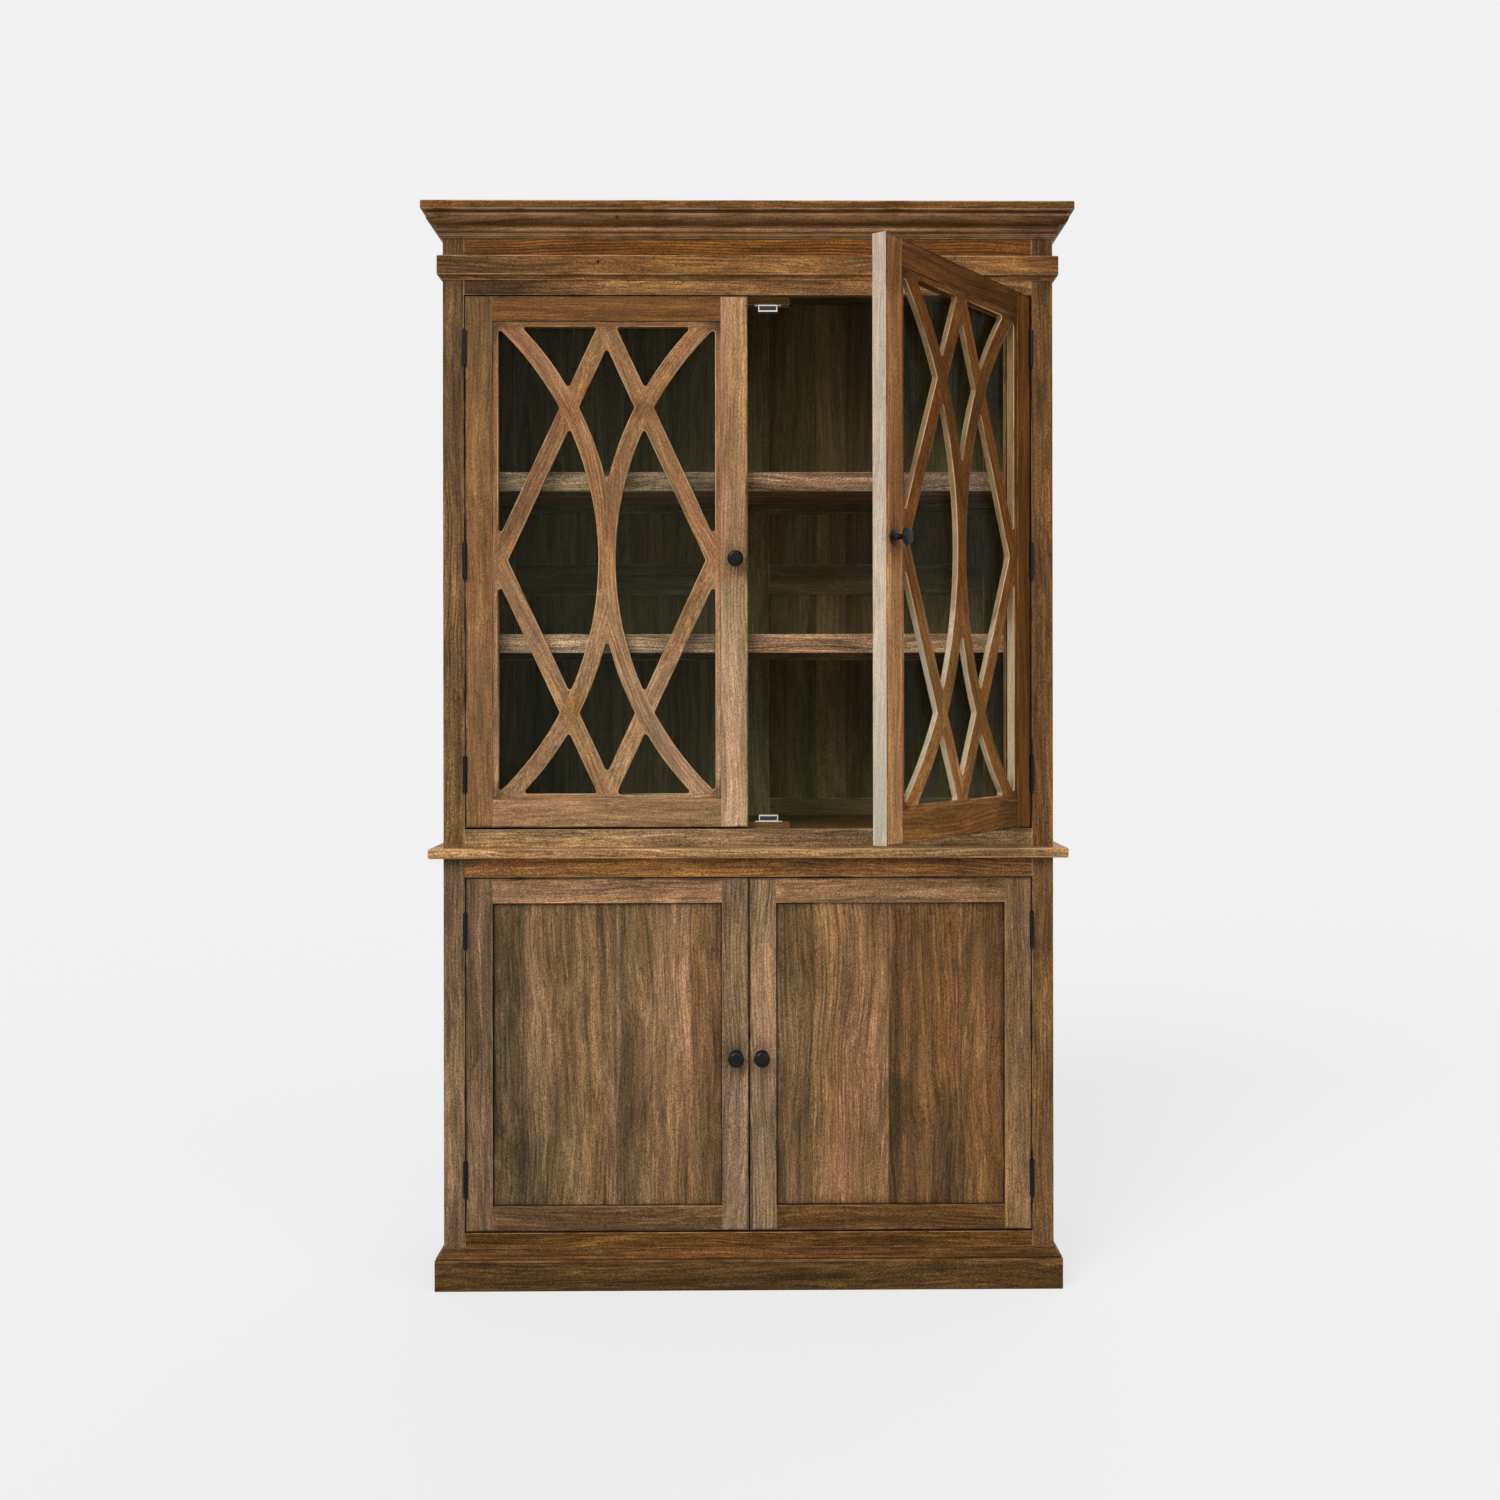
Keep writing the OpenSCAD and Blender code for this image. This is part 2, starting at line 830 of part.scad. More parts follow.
// Door framing: two stiles, with mortises, knob hole, leaf beds and knuckle reliefs
module door_stiles(z0, z1, t, stile, head, foot, hinges, knob_z) {
    difference() {
        union() {
            board(door_x0, door_x0 + stile, face_y, face_y + t, z0, z1);
            board(door_x1 - stile, door_x1, face_y, face_y + t, z0, z1);
        }
        rail_tenons(z0, z1, t, stile, head, foot);
        translate([knob_x, face_y - cut, knob_z])
            rotate([-90, 0, 0])
                cylinder(r = screw_r + screw_clear, h = t + 2 * cut);
        for (z = hinges) {
            board(door_x1 - leaf_t, door_x1 + cut, face_y - cut, face_y + leaf_w,
                  z - hinge_h / 2, z + hinge_h / 2);
            knuckle_relief(z);
        }
    }
}

// The tenoned cores of the two rails, from mortise end to mortise end
module rail_tenons(z0, z1, t, stile, head, foot) {
    y0 = face_y + (t - tenon_t) / 2;
    x0 = door_x0 + stile - tenon_l;
    x1 = door_x1 - stile + tenon_l;
    board(x0, x1, y0, y0 + tenon_t, z0 + tenon_shoulder, z0 + foot - tenon_shoulder);
    board(x0, x1, y0, y0 + tenon_t, z1 - head + tenon_shoulder, z1 - tenon_shoulder);
}

module door_rails(z0, z1, t, stile, head, foot) {
    x0 = door_x0 + stile;
    x1 = door_x1 - stile;
    board(x0, x1, face_y, face_y + t, z0, z0 + foot);
    board(x0, x1, face_y, face_y + t, z1 - head, z1);
    rail_tenons(z0, z1, t, stile, head, foot);
}

// Glazed doors
module glazed_stiles() {
    door_stiles(up_z0, up_z1, up_door_t, up_stile_w, up_head_w, up_foot_w, up_hinges, up_knob_z);
}

module glazed_rails() {
    door_rails(up_z0, up_z1, up_door_t, up_stile_w, up_head_w, up_foot_w);
}

// Outline of a straight bar between two points
module bar(p, q) {
    d = q - p;
    translate((p + q) / 2)
        rotate(atan2(d[1], d[0]))
            square([norm(d) + bar_w, bar_w], center = true);
}

// Outline of a curved bar that touches the middle line and bends away to the corners
module curved_bar() {
    translate([arc_r, 0])
        difference() {
            circle(r = arc_r + bar_w / 2, $fn = arc_fn);
            circle(r = arc_r - bar_w / 2, $fn = arc_fn);
        }
}

// The lattice: a strip all round, a long diamond and two arcs back to back.
// The bars run into each other, and every notch is rounded.
module lattice_outline(w, h, dx, dz) {
    margin = 2 * notch_r;
    intersection() {
        square([w, h], center = true);
        offset(r = -notch_r, $fn = notch_fn)
            offset(delta = notch_r)
                union() {
                    difference() {
                        square([w + 2 * margin, h + 2 * margin], center = true);
                        square([2 * dx, 2 * dz], center = true);
                    }
                    intersection() {
                        square([w, h], center = true);
                        union() {
                            bar([0, dz], [dx, 0]);
                            bar([dx, 0], [0, -dz]);
                            bar([0, -dz], [-dx, 0]);
                            bar([-dx, 0], [0, dz]);
                            curved_bar();
                            mirror([1, 0])
                                curved_bar();
                        }
                    }
                }
    }
}

// The bars are flush with the front of the strip, and the strip reaches back to the glass
module lattice() {
    w = hole_x1 - hole_x0;
    h = hole_z1 - hole_z0;
    dx = w / 2 - lattice_border;
    dz = h / 2 - lattice_border;
    translate([(hole_x0 + hole_x1) / 2, glass_y, (hole_z0 + hole_z1) / 2])
        rotate([90, 0, 0]) {
            translate([0, 0, lattice_t - bar_t])
                linear_extrude(height = bar_t)
                    lattice_outline(w, h, dx, dz);
            linear_extrude(height = lattice_t)
                difference() {
                    square([w, h], center = true);
                    square([2 * dx, 2 * dz], center = true);
                }
        }
}

module glass_pane() {
    board(hole_x0 + glass_play, hole_x1 - glass_play, glass_y, bead_y,
          hole_z0 + glass_play, hole_z1 - glass_play);
}

// Four beads that hold the glass against the lattice
module glazing_beads() {
    board(hole_x0, hole_x1, bead_y, up_back, hole_z0, hole_z0 + bead_w);
    board(hole_x0, hole_x1, bead_y, up_back, hole_z1 - bead_w, hole_z1);
    for (x = [hole_x0, hole_x1 - bead_w])
        board(x, x + bead_w, bead_y, up_back,
              hole_z0 + bead_w + glue_gap, hole_z1 - bead_w - glue_gap);
}

// Panelled doors
module panel_field(margin) {
    y0 = face_y + panel_recess;
    board(pane_x0 - margin, pane_x1 + margin, y0, y0 + panel_t, pane_z0 - margin, pane_z1 + margin);
}

module panelled_stiles() {
    difference() {
        door_stiles(low_z0, low_z1, low_door_t, low_stile_w, low_rail_w, low_rail_w, low_hinges,
                    low_knob_z);
        panel_field(groove);
    }
}

module panelled_rails() {
    difference() {
        door_rails(low_z0, low_z1, low_door_t, low_stile_w, low_rail_w, low_rail_w);
        panel_field(groove);
    }
}

module door_panel() {
    panel_field(groove - panel_play);
}

// Half section of a turned knob with its screw hole: rosette, waist, and a head with a bevelled rim
module knob_profile() {
    r = knob_d / 2;
    waist_r = neck_d / 2;
    hole_r = screw_r + thread_clear;
    hole_l = thread_l + 1;
    bevel = 1;
    foot_r = rosette_d / 2 - bevel;
    foot_h = 3.5;
    foot_cove = 9;
    under_r = r - 3;
    under_cove = 8;
    head_h = 9;
    rim_z0 = knob_l - 7;
    rim_z1 = knob_l - 4;
    bevel_w = 2.5;
    bevel_z = knob_l - 1.5;
    dome_h = 0.5;
    polygon(concat(
        [[hole_r, 0], [foot_r, 0], [foot_r + bevel, bevel], [foot_r + bevel, foot_h - bevel]],
        arc(foot_r, foot_h + foot_cove, foot_r - waist_r, foot_cove, 270, 180, 6),
        arc(under_r, knob_l - head_h - under_cove, under_r - waist_r, under_cove, 180, 90, 6),
        [[r, rim_z0], [r, rim_z1], [r - bevel_w, bevel_z], [r - 2 * bevel_w, knob_l - dome_h],
         [0, knob_l], [0, hole_l], [hole_r, hole_l]]));
}

// A knob on the face of a door, held by a screw from behind
module knob(z, door_t) {
    translate([knob_x, face_y, z])
        rotate([90, 0, 0]) {
            rotate_extrude()
                knob_profile();
            translate([0, 0, -door_t])
                cylinder(r = screw_r, h = door_t + thread_l);
            translate([0, 0, -door_t - screw_head_h])
                cylinder(r = screw_head_r, h = screw_head_h);
        }
}

module upper_left_stiles() {
    color(wood_light)
        hung(-1, 0)
            glazed_stiles();
}

module upper_left_rails() {
    color(wood_light)
        hung(-1, 0)
            glazed_rails();
}

module upper_left_lattice() {
    color(wood_light)
        hung(-1, 0)
            lattice();
}

module upper_left_glass() {
    color(clear_glass)
        hung(-1, 0)
            glass_pane();
}

module upper_left_beads() {
    color(wood)
        hung(-1, 0)
            glazing_beads();
}

module upper_left_knob() {
    color(black_metal)
        hung(-1, 0)
            knob(up_knob_z, up_door_t);
}

module upper_left_strikes() {
    color(nickel)
        hung(-1, 0)
            upper_strikes();
}

module upper_strikes() {
    strike(up_back, z_up_head - block_h - catch_h / 2);
    strike(up_back, z_up_open + block_h + catch_h / 2);
}

module upper_left_hinge_leaves() {
    color(black_metal)
        hung(-1, 0)
            door_leaves(up_hinges);
}

module upper_right_stiles() {
    color(wood_light)
        hung(1, open_angle)
            glazed_stiles();
}

module upper_right_rails() {
    color(wood_light)
        hung(1, open_angle)
            glazed_rails();
}

module upper_right_lattice() {
    color(wood_light)
        hung(1, open_angle)
            lattice();
}

module upper_right_glass() {
    color(clear_glass)
        hung(1, open_angle)
            glass_pane();
}

module upper_right_beads() {
    color(wood)
        hung(1, open_angle)
            glazing_beads();
}

module upper_right_knob() {
    color(black_metal)
        hung(1, open_angle)
            knob(up_knob_z, up_door_t);
}

module upper_right_strikes() {
    color(nickel)
        hung(1, open_angle)
            upper_strikes();
}

module upper_right_hinge_leaves() {
    color(black_metal)
        hung(1, open_angle)
            door_leaves(up_hinges);
}

module lower_left_stiles() {
    color(wood)
        hung(-1, 0)
            panelled_stiles();
}

module lower_left_rails() {
    color(wood)
        hung(-1, 0)
            panelled_rails();
}

module lower_left_panel() {
    color(wood)
        hung(-1, 0)
            door_panel();
}

module lower_left_knob() {
    color(black_metal)
        hung(-1, 0)
            knob(low_knob_z, low_door_t);
}

module lower_left_strike() {
    color(nickel)
        hung(-1, 0)
            strike(low_back, z_low_head - block_h - catch_h / 2);
}

module lower_left_hinge_leaves() {
    color(black_metal)
        hung(-1, 0)
            door_leaves(low_hinges);
}

module lower_right_stiles() {
    color(wood)
        hung(1, 0)
            panelled_stiles();
}

module lower_right_rails() {
    color(wood)
        hung(1, 0)
            panelled_rails();
}

module lower_right_panel() {
    color(wood)
        hung(1, 0)
            door_panel();
}

module lower_right_knob() {
    color(black_metal)
        hung(1, 0)
            knob(low_knob_z, low_door_t);
}

module lower_right_strike() {
    color(nickel)
        hung(1, 0)
            strike(low_back, z_low_head - block_h - catch_h / 2);
}

module lower_right_hinge_leaves() {
    color(black_metal)
        hung(1, 0)
            door_leaves(low_hinges);
}

plinth_front();
plinth_returns();
plinth_bearers();
plinth_cap();
lower_sides();
lower_bottom_board();
lower_back_panel();
lower_stiles();
lower_rails();
lower_shelf();
waist_slab();
upper_sides();
upper_bottom_board();
upper_top_board();
back_stiles();
back_rails();
back_panels();
upper_stiles();
upper_rails();
frieze_board();
middle_shelf();
upper_shelf();
shelf_cleats();
neck_moulding();
crown_moulding();
cornice_top();
catch_blocks();
magnetic_catches();
hinge_frame_leaves();
hinge_pins();
upper_left_stiles();
upper_left_rails();
upper_left_lattice();
upper_left_glass();
upper_left_beads();
upper_left_knob();
upper_left_strikes();
upper_left_hinge_leaves();
upper_right_stiles();
upper_right_rails();
upper_right_lattice();
upper_right_glass();
upper_right_beads();
upper_right_knob();
upper_right_strikes();
upper_right_hinge_leaves();
lower_left_stiles();
lower_left_rails();
lower_left_panel();
lower_left_knob();
lower_left_strike();
lower_left_hinge_leaves();
lower_right_stiles();
lower_right_rails();
lower_right_panel();
lower_right_knob();
lower_right_strike();
lower_right_hinge_leaves();
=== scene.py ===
import json
import math
import bmesh
import bpy
import numpy as np
from mathutils import Matrix, Vector


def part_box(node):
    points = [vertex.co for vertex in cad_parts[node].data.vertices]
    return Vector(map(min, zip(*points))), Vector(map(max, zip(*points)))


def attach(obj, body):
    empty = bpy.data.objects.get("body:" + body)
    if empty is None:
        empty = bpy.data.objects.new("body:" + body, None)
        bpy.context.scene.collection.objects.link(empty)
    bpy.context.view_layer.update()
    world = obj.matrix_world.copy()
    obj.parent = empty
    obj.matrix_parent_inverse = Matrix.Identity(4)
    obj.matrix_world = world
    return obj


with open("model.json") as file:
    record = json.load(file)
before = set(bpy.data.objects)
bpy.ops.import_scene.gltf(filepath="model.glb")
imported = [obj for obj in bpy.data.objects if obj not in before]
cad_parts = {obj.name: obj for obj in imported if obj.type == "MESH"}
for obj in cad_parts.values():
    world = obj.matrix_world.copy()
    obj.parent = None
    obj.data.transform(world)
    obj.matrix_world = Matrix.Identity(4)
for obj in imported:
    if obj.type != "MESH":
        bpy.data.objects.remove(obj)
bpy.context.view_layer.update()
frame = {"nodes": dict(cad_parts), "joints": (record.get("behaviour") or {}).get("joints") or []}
scene = bpy.context.scene

# The camera
# It stands 3.5 m in front of the doors and 1.24 m above the floor, and looks almost square at the cabinet.
# Its place, turn, focal length and shift were fitted to edges and corners that the photograph shows.
photo_side_px = 1500
focal_px = 1662.6
optical_centre_px = (774.0, 703.3)
sensor_mm = 36.0
camera_place = (0.0159, -3.7592, 1.2421)
camera_yaw = -0.01073
camera_roll = 0.00143
lens = bpy.data.cameras.new("photo_camera")
lens.sensor_width = sensor_mm
lens.lens = focal_px / photo_side_px * sensor_mm
lens.shift_x = 0.5 - optical_centre_px[0] / photo_side_px
lens.shift_y = optical_centre_px[1] / photo_side_px - 0.5
camera = bpy.data.objects.new("photo_camera", lens)
camera.matrix_world = (
    Matrix.Translation(camera_place)
    @ Matrix.Rotation(camera_yaw, 4, "Z")
    @ Matrix.Rotation(camera_roll, 4, "Y")
    @ Matrix.Rotation(math.pi / 2, 4, "X")
)
scene.collection.objects.link(camera)
scene.camera = camera


# Plinth: front board, two returns and three bearers
# Solid mango boards, mitred at the front corners and darker than the rest, with the grain lying down.
# The bearers stand behind them and carry the case. Their eased edges are rubbed a little paler.
class Tree:
    """Adds nodes to one shader tree. Each call gives back the socket that carries its result."""

    def __init__(self, tree):
        self.tree = tree

    def put(self, kind, inputs, out=0, **settings):
        """One node: an input that is a socket is linked, and a plain value is set."""
        node = self.tree.nodes.new("ShaderNode" + kind)
        for name, value in settings.items():
            setattr(node, name, value)
        for key, value in inputs.items():
            if isinstance(value, bpy.types.NodeSocket):
                self.tree.links.new(value, node.inputs[key])
            else:
                node.inputs[key].default_value = value
        return node.outputs[out]

    def maths(self, operation, a, b=0.0, c=0.0):
        return self.put("Math", {0: a, 1: b, 2: c}, operation=operation)

    def vector(self, operation, a, b=(0.0, 0.0, 0.0), out=0):
        return self.put("VectorMath", {0: a, 1: b}, out=out, operation=operation)

    def split(self, vector):
        """The x, y and z of a vector."""
        parts = self.put("SeparateXYZ", {0: vector}).node
        return parts.outputs[0], parts.outputs[1], parts.outputs[2]

    def join(self, x, y, z):
        return self.put("CombineXYZ", {0: x, 1: y, 2: z})

    def mix(self, factor, a, b, blend="MIX"):
        """Colour a, with b laid over it by the factor."""
        inputs = {0: factor, 6: a, 7: b}
        return self.put("Mix", inputs, out=2, data_type="RGBA", blend_type=blend)

    def step(self, value, low, high, start=0.0, end=1.0):
        """A smooth step: start where the value is low, end where it is high."""
        inputs = {0: value, 1: low, 2: high, 3: start, 4: end}
        return self.put("MapRange", inputs, interpolation_type="SMOOTHSTEP")

    def group(self, tree, inputs):
        """A node group with its inputs, and its outputs by name."""
        return self.put("Group", inputs, node_tree=tree).node.outputs

    def noise(self, place, stretch, detail=2.0, roughness=0.5, out=0):
        """Noise with so many waves a metre across, through and along the grain."""
        inputs = {"Vector": self.vector("MULTIPLY", place, stretch), "Scale": 1.0,
                  "Detail": detail, "Roughness": roughness}
        return self.put("TexNoise", inputs, out=out)


SOCKETS = {"value": "NodeSocketFloat", "vector": "NodeSocketVector", "colour": "NodeSocketColor"}


def new_group(name, inputs, outputs):
    """A shader node group with the named sockets: its Tree, its inputs by name, and its end node."""
    group = bpy.data.node_groups.new(name, "ShaderNodeTree")
    for label, kind in inputs.items():
        group.interface.new_socket(name=label, in_out="INPUT", socket_type=SOCKETS[kind])
    for label, kind in outputs.items():
        group.interface.new_socket(name=label, in_out="OUTPUT", socket_type=SOCKETS[kind])
    start = group.nodes.new("NodeGroupInput")
    end = group.nodes.new("NodeGroupOutput")
    return Tree(group), start.outputs, end


def mango_group():
    """Mango wood with the grain along Z, in shades of one stain.
    The lateral coordinates are bent by a slow and a quicker noise, so the lines wander. On them lie wide
    zones, streaks a finger wide, blotches, pink, golden and olive bands, long fibres, fine pale lines,
    speckle and short dark pores. Patches of annual rings are the sine of the distance from a wandering pith.
    Contrast is the power that light and dark are raised to. Each board has its own number, which moves the
    whole pattern to another part of the tree."""
    inputs = {"Vector": "vector", "Board": "value", "Stain": "colour", "Streaks": "value", "Warmth": "value",
              "Pores": "value", "Figure": "value", "Contrast": "value"}
    outputs = {"Color": "colour", "Roughness": "value", "Height": "value"}
    t, given, end = new_group("mango_wood", inputs, outputs)
    lucky = t.put("TexWhiteNoise", {"W": given["Board"]}, out="Color", noise_dimensions="1D")
    far = t.vector("MULTIPLY", lucky, (3.7, 5.3, 9.1))
    place = t.vector("ADD", given["Vector"], far)
    sway = t.vector("SUBTRACT", t.noise(place, (2.6, 2.6, 1.0), out="Color"), (0.5, 0.5, 0.5))
    waver = t.vector("SUBTRACT", t.noise(place, (7.0, 7.0, 3.2), out="Color"), (0.5, 0.5, 0.5))
    place = t.vector("ADD", place, t.vector("MULTIPLY", sway, (0.1, 0.1, 0.0)))
    place = t.vector("ADD", place, t.vector("MULTIPLY", waver, (0.035, 0.035, 0.0)))
    aside = t.vector("ADD", place, (1.7, 0.4, 0.9))
    zones = t.step(t.noise(place, (13.0, 13.0, 0.6)), 0.38, 0.62)
    streaks = t.noise(place, (52.0, 52.0, 1.6), detail=3.0, roughness=0.6)
    blotches = t.noise(aside, (9.0, 9.0, 3.5), detail=2.0)
    pink = t.step(t.noise(aside, (15.0, 15.0, 0.8), detail=2.0), 0.44, 0.6)
    warm = t.step(t.noise(aside, (22.0, 22.0, 0.9), detail=1.0), 0.5, 0.64)
    olive = t.step(t.noise(aside, (34.0, 34.0, 1.3), detail=4.0, roughness=0.65), 0.52, 0.66)
    fibres = t.noise(place, (190.0, 190.0, 7.0), detail=3.0, roughness=0.7)
    speckle = t.noise(place, (480.0, 480.0, 260.0), detail=1.0, roughness=0.6)
    lines = t.step(t.noise(aside, (330.0, 330.0, 9.0), detail=2.0), 0.54, 0.7)
    pores = t.step(t.noise(aside, (430.0, 430.0, 30.0), detail=1.0), 0.6, 0.72)
    x = t.split(place)[0]
    taper = t.maths("MULTIPLY", t.noise(place, (1.5, 1.5, 1.6), detail=1.0), 0.22)
    radius = t.maths("SQRT", t.maths("ADD", t.maths("MULTIPLY", x, x), t.maths("MULTIPLY", taper, taper)))
    ring_rate = 800.0
    rings = t.maths("SINE", t.maths("MULTIPLY", radius, ring_rate))
    figured = t.step(t.noise(place, (7.0, 7.0, 2.4), detail=1.0), 0.46, 0.62, 0.25, 1.5)
    rings = t.maths("MULTIPLY", t.maths("MULTIPLY", t.step(rings, 0.0, 1.0), figured), given["Figure"])
    hue = t.mix(zones, (0.84, 0.87, 0.82, 1.0), (1.16, 1.13, 1.16, 1.0))
    hue = t.mix(t.maths("MULTIPLY", warm, given["Warmth"]), hue, (1.08, 1.0, 0.8, 1.0))
    hue = t.mix(pink, hue, (1.04, 0.98, 1.06, 1.0), blend="MULTIPLY")
    hue = t.mix(t.maths("MULTIPLY", olive, given["Streaks"]), hue, (0.52, 0.58, 0.5, 1.0))
    colour = t.mix(1.0, given["Stain"], hue, blend="MULTIPLY")
    dark = t.maths("MULTIPLY", pores, given["Pores"])
    layers = (
        t.step(streaks, 0.3, 0.7, 0.74, 1.26),
        t.step(speckle, 0.3, 0.7, 0.66, 1.34),
        t.step(blotches, 0.34, 0.66, 0.86, 1.14),
        t.maths("MULTIPLY_ADD", lines, 0.36, 0.96),
        t.maths("MULTIPLY_ADD", rings, -0.36, 1.02),
        t.maths("MULTIPLY_ADD", dark, -0.4, 1.0),
        t.maths("MULTIPLY_ADD", t.split(lucky)[0], 0.12, 0.98),
    )
    shade = t.step(fibres, 0.28, 0.72, 0.7, 1.32)
    for layer in layers:
        shade = t.maths("MULTIPLY", shade, layer)
    shade = t.maths("POWER", shade, given["Contrast"])
    colour = t.mix(1.0, colour, t.join(shade, shade, shade), blend="MULTIPLY")
    rough = t.maths("MULTIPLY_ADD", olive, 0.12, t.maths("MULTIPLY_ADD", fibres, 0.14, 0.46))
    relief = t.maths("MULTIPLY_ADD", speckle, 0.2, t.maths("MULTIPLY", fibres, 0.4))
    height = t.maths("MULTIPLY_ADD", dark, -0.5, relief)
    t.tree.links.new(colour, end.inputs["Color"])
    t.tree.links.new(rough, end.inputs["Roughness"])
    t.tree.links.new(height, end.inputs["Height"])
    return t.tree


def patch_group():
    """Marks of a box from Low to High in x and z. Rim is painted shade along its edge: 1 at the edge, and 0
    further in than about Reach. Inside is 1 within the box, with edges that wander along the grain by about
    Reach."""
    inputs = {"Vector": "vector", "Grain": "vector", "Low": "vector", "High": "vector", "Reach": "value"}
    t, given, end = new_group("board_marks", inputs, {"Rim": "value", "Inside": "value"})
    from_low = t.split(t.vector("SUBTRACT", given["Vector"], given["Low"]))
    from_high = t.split(t.vector("SUBTRACT", given["High"], given["Vector"]))
    near = t.maths("MINIMUM", from_low[0], from_low[2])
    near = t.maths("MINIMUM", near, t.maths("MINIMUM", from_high[0], from_high[2]))
    depth = t.maths("DIVIDE", near, given["Reach"])
    patches = t.noise(given["Vector"], (14.0, 14.0, 14.0), detail=3.0, roughness=0.6)
    rim = t.step(t.maths("DIVIDE", depth, t.step(patches, 0.3, 0.7, 0.3, 1.5)), 0.0, 1.0, 1.0, 0.0)
    wander = t.noise(given["Grain"], (60.0, 60.0, 3.0), detail=3.0, roughness=0.6)
    inside = t.step(t.maths("ADD", depth, t.maths("MULTIPLY_ADD", wander, 3.0, -1.5)), -0.5, 0.5)
    t.tree.links.new(rim, end.inputs["Rim"])
    t.tree.links.new(inside, end.inputs["Inside"])
    return t.tree


def halo_group():
    """Dark handling marks round a knob: 1 at the centre in x and z, 0 beyond Reach, patchy between."""
    inputs = {"Vector": "vector", "Centre": "vector", "Reach": "value"}
    t, given, end = new_group("handling_marks", inputs, {"Mask": "value"})
    way = t.vector("MULTIPLY", t.vector("SUBTRACT", given["Vector"], given["Centre"]), (1.0, 0.0, 0.7))
    away = t.maths("DIVIDE", t.vector("LENGTH", way, out="Value"), given["Reach"])
    patches = t.noise(given["Vector"], (45.0, 45.0, 30.0), detail=3.0, roughness=0.6)
    away = t.maths("ADD", away, t.maths("MULTIPLY_ADD", patches, 0.8, -0.4))
    t.tree.links.new(t.step(away, 0.3, 1.0, 1.0, 0.0), end.inputs["Mask"])
    return t.tree


mango_wood = mango_group()
board_marks = patch_group()
handling_marks = halo_group()


def linear(colour):
    """Screen values from 0 to 255 as the linear colour that a shader takes."""
    parts = [part / 255 for part in colour]
    return tuple(p / 12.92 if p < 0.04045 else ((p + 0.055) / 1.055) ** 2.4 for p in parts) + (1.0,)


def new_material(name):
    """A material with an empty shader tree, and the Tree that fills it."""
    material = bpy.data.materials.new(name)
    material.use_nodes = True
    material.node_tree.nodes.clear()
    return material, Tree(material.node_tree)


def finish(material, shader):
    """The material, with the shader on its surface."""
    tree = material.node_tree
    end = tree.nodes.new("ShaderNodeOutputMaterial")
    tree.links.new(shader, end.inputs["Surface"])
    return material


def faces_along(t, normal, way):
    """1 on faces that look the given way, 0 on those that look aside or back, and soft between."""
    return t.step(t.vector("DOT_PRODUCT", normal, way, out="Value"), 0.3, 0.7)


GRAIN_TURNS = {"z": (0.0, 0.0, 0.0), "x": (0.0, -math.pi / 2, 0.0), "y": (math.pi / 2, 0.0, 0.0)}


